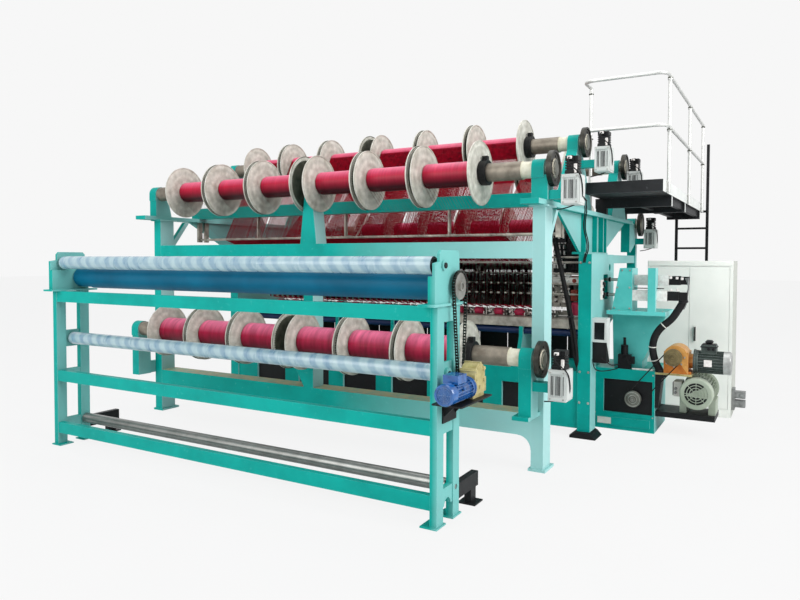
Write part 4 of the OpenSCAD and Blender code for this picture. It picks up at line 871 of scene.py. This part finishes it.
# cables that hang from the arm, in front of the knitting head, and go in through the side wall
HANG = ((1846, 60, 2128), (1868, 56, 2010), (1903, 50, 1852), (1972, 44, 1540), (2045, 52, 1200),
        (2087, 64, 923), (2104, 88, 740), (2112, 112, 668), (2119, 132, 640))
hanging = []
for k, (aside, ahead) in enumerate(((0, 0), (16, -9), (-15, 5), (4, 14), (22, 12))):
    loose = [min(1, (len(HANG) - 1 - n) / 3) for n in range(len(HANG))]
    hanging.append([(x + (aside + 7 * math.sin(k * 2.1 + n)) * loose[n], y + ahead * loose[n], z)
                    for n, (x, y, z) in enumerate(HANG)])
add_wires("riser_cables", hanging, 9)
add_piece("riser_clips", [
    bar((2034, 2092), (36, 82), (1128, 1142), 3),
    bar((1928, 1990), (30, 76), (1672, 1684), 3),
    bar((2112, 2120), (96, 168), (604, 676), 3),
], black_enamel)

# two thin ones that sag from the upper front let-off, over the arm and down the wall
add_wires("draped_cables", [
    ((2446, -1010 + k, 2150), (2450 + k, -960, 2120), (2420 + k, -840, 2130),
     (2372 + k, -680, 2150), (2308 + k, -400, 2080), (2238 + k, -200, 1973),
     (2212 + k, -60, 1912), (2210 + k, 50, 1816), (2196 + k, 90, 1742), (2172 + k, 95, 1700),
     (2164 + k, 96, 1640)) for k in (0, 14)], 5.5)


# ---- the head's lower row

add_piece("eyelet_blocks", row([
    bar((-27, 27), (437, 466), (1488, 1540), 4),
    bar((-20, 20), (466, 474), (1494, 1534), 2),
], [x for k, x in enumerate(MIDDLES) if k % 7 != 3]), white_plastic)
add_piece("thread_weights", row([
    bar((-20, 20), (414, 434), (1326, 1352), 3),
    bar((-24, 24), (416, 434), (1374, 1386), 2),
], [x for k, x in enumerate(MIDDLES) if k % 5 in (0, 3)]), white_plastic)
PRESSERS_FROM, PRESSER_PITCH = -1730, 225
PRESSERS = [PRESSERS_FROM + PRESSER_PITCH * k for k in range(16)]
add_piece("presser_rolls", row([
    rod((0, 452, 1130), 38, 84, "x", 28, 5),
    rod((0, 452, 1130), 14, 116, "x", 16, 1),
], PRESSERS), pink_plastic)
add_piece("presser_arms", row([
    bar((48, 60), (440, 560), (1092, 1144), 3),
    bar((-60, -48), (440, 560), (1092, 1144), 3),
    bar((74, 150), (470, 560), (1080, 1150), 4),
    bar((84, 92), (430, 470), (1080, 1168), 2),
    rod((118, 462, 1120), 16, 24, "y", 16, 2),
], PRESSERS), clamp_mix)
add_piece("head_shelf", [
    bar(HEAD_SPAN, (404, 470), (1020, 1034), 2),
    bar(HEAD_SPAN, (404, 412), (984, 1020), 2),
], shaft_steel)

# stop-motion panel beside the right wall: black plate, relays and solenoids
PANEL_Y, PANEL_X = 540, (1742, 2119)
add_piece("stop_motion_panel", [
    bar(PANEL_X, (PANEL_Y, 548), (1530, 1956), 2),
    bar(PANEL_X, (528, PANEL_Y), (1740, 1760), 2),
    bar((1900, 1990), (500, PANEL_Y), (1840, 1930), 4),
    bar((1764, 1880), (506, PANEL_Y), (1836, 1920), 4),
    bar((1930, 2100), (508, PANEL_Y), (1560, 1700), 5),
    bar((2000, 2110), (500, PANEL_Y), (1780, 1900), 5),
    bar((1936, 1952), (430, PANEL_Y), (1120, 1500), 3),
    bar((2030, 2110), (440, PANEL_Y), (1130, 1500), 4),
], black_enamel)
relays = [
    bar((x, x + 17), (496, 528), (z, z + 42), 2)
    for z, lefts in ((1878, (1776, 1800, 1846, 1916)), (1776, (1756, 1782, 1808, 1852)),
                     (1716, (1760, 1786, 1812, 1856)), (1640, (1770, 1824)),
                     (1580, (1756, 1790, 1862)))
    for x in lefts
]
relays += [bar((1760, 1880), (504, 510), (z, z + 7), 1) for z in (1620, 1690, 1830)]
add_piece("relays", relays, white_plastic)
add_piece("solenoids", [
    bar((1950, 2028), (437, 505), (1418, 1500), 8),
    bar((1940, 2024), (437, 505), (1258, 1372), 8),
    rod((1990, 430, 1460), 22, 16, "y", 20, 2),
    rod((1982, 430, 1318), 22, 16, "y", 20, 2),
], brick_enamel)
add_piece("feed_magnet", [
    bar((1962, 2038), (424, 500), (1116, 1246), 10),
    bar((1974, 1990), (414, 424), (1130, 1230), 3),
], pink_plastic)
leads = []
for k in range(7):
    x = 1790 + 34 * k
    leads.append(((x, 500, 1836), (x + 12, 470, 1780), (x + 30 + 6 * k % 20, 480, 1700),
                  (x + 40, 500, 1620), (x + 52, 520, 1540)))
for k in range(4):
    leads.append(((2046 + 14 * k, 430, 1490), (2040 + 15 * k, 410, 1400),
                  (2052 + 12 * k, 408, 1260), (2060 + 10 * k, 430, 1140)))
add_wires("head_leads", leads, 4.5)

# black sheets behind the head, put there as painted shade to darken the view through the machine,
# each with a lip along its foot and its top
SHADE_SHEET_LEFT, SHADE_SHEET_PITCH, SHADE_SHEET_W, SHADE_SHEET_Y = -1936, 338, 332, 944
for k in range(12):
    left = SHADE_SHEET_LEFT + SHADE_SHEET_PITCH * k
    lip = (left + 8, left + SHADE_SHEET_W - 8)
    add_piece(f"rear_shade_sheet_{k}", [
        bar((left, left + SHADE_SHEET_W), (SHADE_SHEET_Y, SHADE_SHEET_Y + 3), (562, 996), 1),
        bar(lip, (SHADE_SHEET_Y - 8, SHADE_SHEET_Y), (566, 584), 1),
        bar(lip, (SHADE_SHEET_Y - 8, SHADE_SHEET_Y), (974, 992), 1),
    ], black_enamel)

# rod guides on the outside of the right wall
add_piece("rod_guide_plate", [
    bar((2240, 2252), (424, 524), (1279, 1473), 3),
    bar((2252, 2262), (436, 470), (1286, 1466), 2),
], white_plastic)
add_piece("rod_guide_valves",
          [rod((2262, 496, z), 24, 24, "x", 20, 3) for z in (1328, 1428)]
          + [bar((2262, 2276), (438, 468), span(z, 32), 3) for z in (1312, 1380, 1440)],
          black_enamel)
for body, y, z in (("shog_rod_front", BAR_FRONT_Y, 1327), ("shog_rod_rear", BAR_REAR_Y, 1472)):
    add_piece(body + "_bush", [rod((2270, y, z), 23, 20, "x", 24, 3)], black_enamel,
              body)


# ---- motors and gearboxes


GUARD_RINGS, GUARD_WIRE, SPOKE_WIRE, SPOKE_REACH = (0.2, 0.36, 0.52, 0.68), 0.022, 0.018, 0.71


def fan_guard(centre, radius, axis):
    """Rings and spokes of a fan guard, on a face of the motor that looks along the axis. Their
    sizes are shares of the motor's radius."""
    parts = [ring(centre, radius * share, radius * GUARD_WIRE, axis, 40)
             for share in GUARD_RINGS]
    for k in range(4):
        spoke_axis = "x" if axis != "x" else "y"
        rod(centre, radius * SPOKE_WIRE, 2 * radius * SPOKE_REACH, spoke_axis, 8, 0)
        bpy.ops.transform.rotate(value=k * math.pi / 4, orient_axis=axis.upper(),
                                 center_override=spot(*centre))
        parts.append(settle())
    return parts


for name, centre, radius, axis, finish, slot in (
    ("takeup_motor", (2100, -2677, 870), 68, "y", blue_enamel, "blue_enamel"),
    ("main_motor", MAIN_MOTOR, 155, "y", motor_enamel, "motor_grey"),
    ("worm_motor", (3373, 730, 710), 110, "x", silver_cowl, "motor_grey"),
):
    add_piece(name + "_fan_guard", fan_guard(centre, radius, axis), finish)

add_piece("takeup_terminal_box", [
    bar((2047, 2153), (-2594, -2466), (909, 915), 2),
    rod((2161, -2530, 893), 10, 22, "x", 16, 1.5),
    bar((2056, 2144), (-2586, -2474), (915, 919), 2),
], blue_enamel)
add_piece("worm_terminal_box", [
    bar((3112, 3258), (664, 796), (852, 862), 3),
    bar((3124, 3246), (676, 784), (862, 884), 4),
    bar((3150, 3220), (690, 770), (884, 918), 14),
    rod((3185, 668, 840), 14, 30, "y", 18, 2),
    rod((3225, 668, 840), 14, 30, "y", 18, 2),
], black_enamel)
add_piece("main_terminal_box", [
    bar((2870, 2876), (706, 874), (370, 498), 3),
    rod((2900, 690, 400), 13, 30, "y", 18, 2),
    rod((2900, 690, 440), 13, 30, "y", 18, 2),
], grey_plastic)
add_piece("worm_motor_plate", [bar((3150, 3218), (617, 620), (680, 742), 0.8)], white_plastic)
for body, centre, radius, finish in (("main_pulley", MAIN_PULLEY, 77, oiled_steel),
                                     ("gearbox_pulley", WORM_WHEEL, 80, bronze)):
    rings = [ring(centre, radius * share, thick, "y", 48)
             for share, thick in ((0.86, 3.0), (0.5, 3.5), (0.26, 4.0))]
    rings.append(rod((centre[0], centre[1] - 5, centre[2]), 13, 16, "y", 6, 2))
    add_piece(body + "_rings", rings, finish, body)


def bolt_circle(centre, radius):
    """Eight places round an axis that points back."""
    return [(centre[0] + radius * math.cos(k * math.pi / 4), centre[1],
             centre[2] + radius * math.sin(k * math.pi / 4)) for k in range(8)]


worm_face = (WORM_WHEEL[0], 609.5, WORM_WHEEL[2])
add_bolts("worm_gearbox_bolts", 8, FORWARD,
          [place for place in bolt_circle(worm_face, 92) if place[2] < 798])
add_piece("worm_gearbox_fins",
          [bar((2796, 2802), span(y, 8), (640, 780), 2) for y in range(640, 840, 26)],
          orange_enamel)
add_bolts("takeup_gearbox_bolts", 5, FORWARD, bolt_circle((2100, -2361, 870), 44))


# ---- bolts, plates and fittings

add_bolts("casting_bolts", 8, FORWARD, [(x, 549.5, z) for x, z in (
    (2350, 1200), (2492, 1200), (2492, 1400), (2492, 1566), (2420, 1566), (2376, 1400))])
add_bolts("funnel_plate_bolts", 7, UP, grid((2310, 2400, 2560, 2800), (520,), (1178,)))
add_bolts("wall_bolts", 10, FORWARD, grid((2140, 2222), (99.5,), (330, 620, 1640)))
add_bolts("base_box_bolts", 7, FORWARD, grid((2165, 2710), (599.5,), (150, 560)))
add_piece("blank_plate", [bar((2190, 2322), (589.6, BASE_LIP), (50, 112), 0.8)], pale_plastic)

# the handrail's posts along the platform's right side, and the lone one at its left end
DECK_Z, RAIL_H, RAIL_X, RAIL_POSTS, LONE_POST = 2330, 1060, 2823, (600, 2030, 3300), (2060, 715)
sleeves = [rod((RAIL_X, y, DECK_Z + share * RAIL_H - 24), 23, 30, "z", 24, 2)
           for share in (0.55, 1) for y in RAIL_POSTS[:2]]
for y in RAIL_POSTS:
    sleeves += [bar((2802, 2810), span(y, 90), (DECK_Z - 18, DECK_Z + 70), 2),
                rod((RAIL_X, y, DECK_Z + 74), 22, 14, "z", 24, 2)]
sleeves += [rod((*LONE_POST, 2136), 44, 12, "z", 32, 2),
            rod((*LONE_POST, 2150), 24, 20, "z", 24, 2)]
add_piece("rail_fittings", sleeves, bright_pipe)
add_piece("rail_clamps",
          [rod((RAIL_X, y, z), 23.5, 12, "z", 24, 1) for y in RAIL_POSTS for z in (2890, 3370)]
          + [rod((*LONE_POST, z), 23.5, 10, "z", 24, 1) for z in (2880, 3330)],
          dark_iron_and_gap_shade)
add_bolts("rail_bolts", 6, RIGHT, [(2810, y + d, z) for y in RAIL_POSTS for d in (-33, 33)
                                   for z in (DECK_Z, DECK_Z + 54)])

CAB_X, CAB_Y, CAB_W, CAB_H = 2457, 1680, 854, 1660
SOCKETS_Z = (110, 205)
add_piece("cabinet_trim", [
    bar((CAB_X + 6, CAB_X + CAB_W - 6), (CAB_Y - 5, CAB_Y), (CAB_H - 52, CAB_H - 8), 2),
    bar((CAB_X + 40, CAB_X + CAB_W - 40), (CAB_Y - 3, CAB_Y), (14, 78), 2),
], cabinet_powder_coat)
add_piece("socket_lids",
          [bar((3330, 3436), (1752, 1760), (z + 8, z + 62), 3) for z in SOCKETS_Z]
          + [rod((x, 1750, z + 35), 20, 8, "y", 24, 2) for x in (3356, 3408)
             for z in SOCKETS_Z],
          grey_plastic)
add_piece("box_tray", [
    bar((2510, 2700), (612, 700), (600.3, 606), 2),
    bar((2510, 2700), (612, 616), (606, 616), 1),
], white_plastic)
add_wires("oil_pipes", (
    ((2420, 640, 690), (2440, 610, 740), (2470, 600, 700), (2490, 605, 640), (2500, 640, 602)),
    ((2330, 146, 760), (2372, 150, 720), (2392, 260, 680), (2390, 420, 660), (2400, 560, 650)),
    ((2250, 130, 740), (2262, 118, 660), (2300, 200, 622), (2350, 420, 606), (2380, 600, 604)),
), 5)
add_wires("servo_cables", [
    ((3007 - 9 * k, 592 + 9 * k, 1498), (3016, 590 + 8 * k, 1430),
     (3008 - 5 * k, 590 + 8 * k, 1350), (2996 - 6 * k, 592 + 6 * k, 1240), (2972, 600, 1206))
    for k in range(4)], 5, grey_plastic)
add_piece("actuator_seats",
          [bar((2530, 2800), (568, 590), (z, z + 9), 2) for z in (1392, 1276)],
          black_enamel)
add_piece("actuator_plugs", [
    bar((x, x + 22), (566, 590), (z, z + 24), 3)
    for x, z in ((2846, 1490), (2902, 1486), (2850, 1372), (2906, 1376), (2946, 1480))
], white_plastic)
add_piece("handle_plate", [bar(span(2949, 34), (CAB_Y - 2.5, CAB_Y), (775, 975), 1)],
          cabinet_powder_coat, "door_right")


# ---- floor, backdrop and lamps


FLOOR_SIZE, FLOOR_GLOW, SKY_POWER = 120, 0.93, 0.62


def build_stage():
    """Floor, sky and lamps. Floor and sky look near white to the camera."""
    bpy.ops.mesh.primitive_plane_add(size=FLOOR_SIZE, location=(0, 0, -0.001))
    floor = bpy.context.object
    floor.name = "floor"
    finish, surface, where = new_finish("studio_floor", Roughness=0.9)
    feed(finish, surface["Base Color"],
         two_tones(finish, mottle(finish, where, 900, 2), "#e9e9e9", "#eeeeee"))
    backdrop = {"Color": colour("#f7f7f7")}
    glow = add_node(finish, "Emission", "Emission", backdrop)
    share = add_node(finish, "Math", "Value", {
        0: add_node(finish, "LightPath", "Is Camera Ray"), 1: FLOOR_GLOW}, operation="MULTIPLY")
    shader = (finish.node_tree.nodes["Principled BSDF"], "BSDF")
    shown = add_node(finish, "MixShader", "Shader", {0: share, 1: shader, 2: glow})
    feed(finish, finish.node_tree.nodes["Material Output"].inputs["Surface"], shown)
    floor.data.materials.append(finish)

    world = bpy.data.worlds.new("studio")
    bpy.context.scene.world = world
    world.use_nodes = True
    light = world.node_tree.nodes["Background"]
    light.inputs["Color"].default_value = colour("#f2f5f7")
    light.inputs["Strength"].default_value = SKY_POWER
    seen = add_node(world, "Background", "Background", backdrop)
    rays = [add_node(world, "LightPath", f"Is {kind} Ray") for kind in ("Camera", "Glossy")]
    either = add_node(world, "Math", "Value", dict(enumerate(rays)), operation="MAXIMUM")
    sockets = {0: either, 1: (light, "Background"), 2: seen}
    shown = add_node(world, "MixShader", "Shader", sockets)
    feed(world, world.node_tree.nodes["World Output"].inputs["Surface"], shown)

    for name, place, aim, size, power in (
        ("right_window", (11, -3.5, 6.5), (0, 0, 1.2), 6, 950),
        ("front_fill", (-3.5, -11, 5), (0, 0, 1.2), 7, 540),
        ("top_bank", (0, 0, 9), (0, 0, 0), 8, 330),
    ):
        bpy.ops.object.light_add(type="AREA", location=place)
        lamp = bpy.context.object
        lamp.name = name
        lamp.data.size, lamp.data.energy = size, power
        lamp.rotation_euler = (Vector(aim) - Vector(place)).to_track_quat("-Z", "Y").to_euler()


build_stage()
bpy.context.scene.view_settings.view_transform = "Standard"
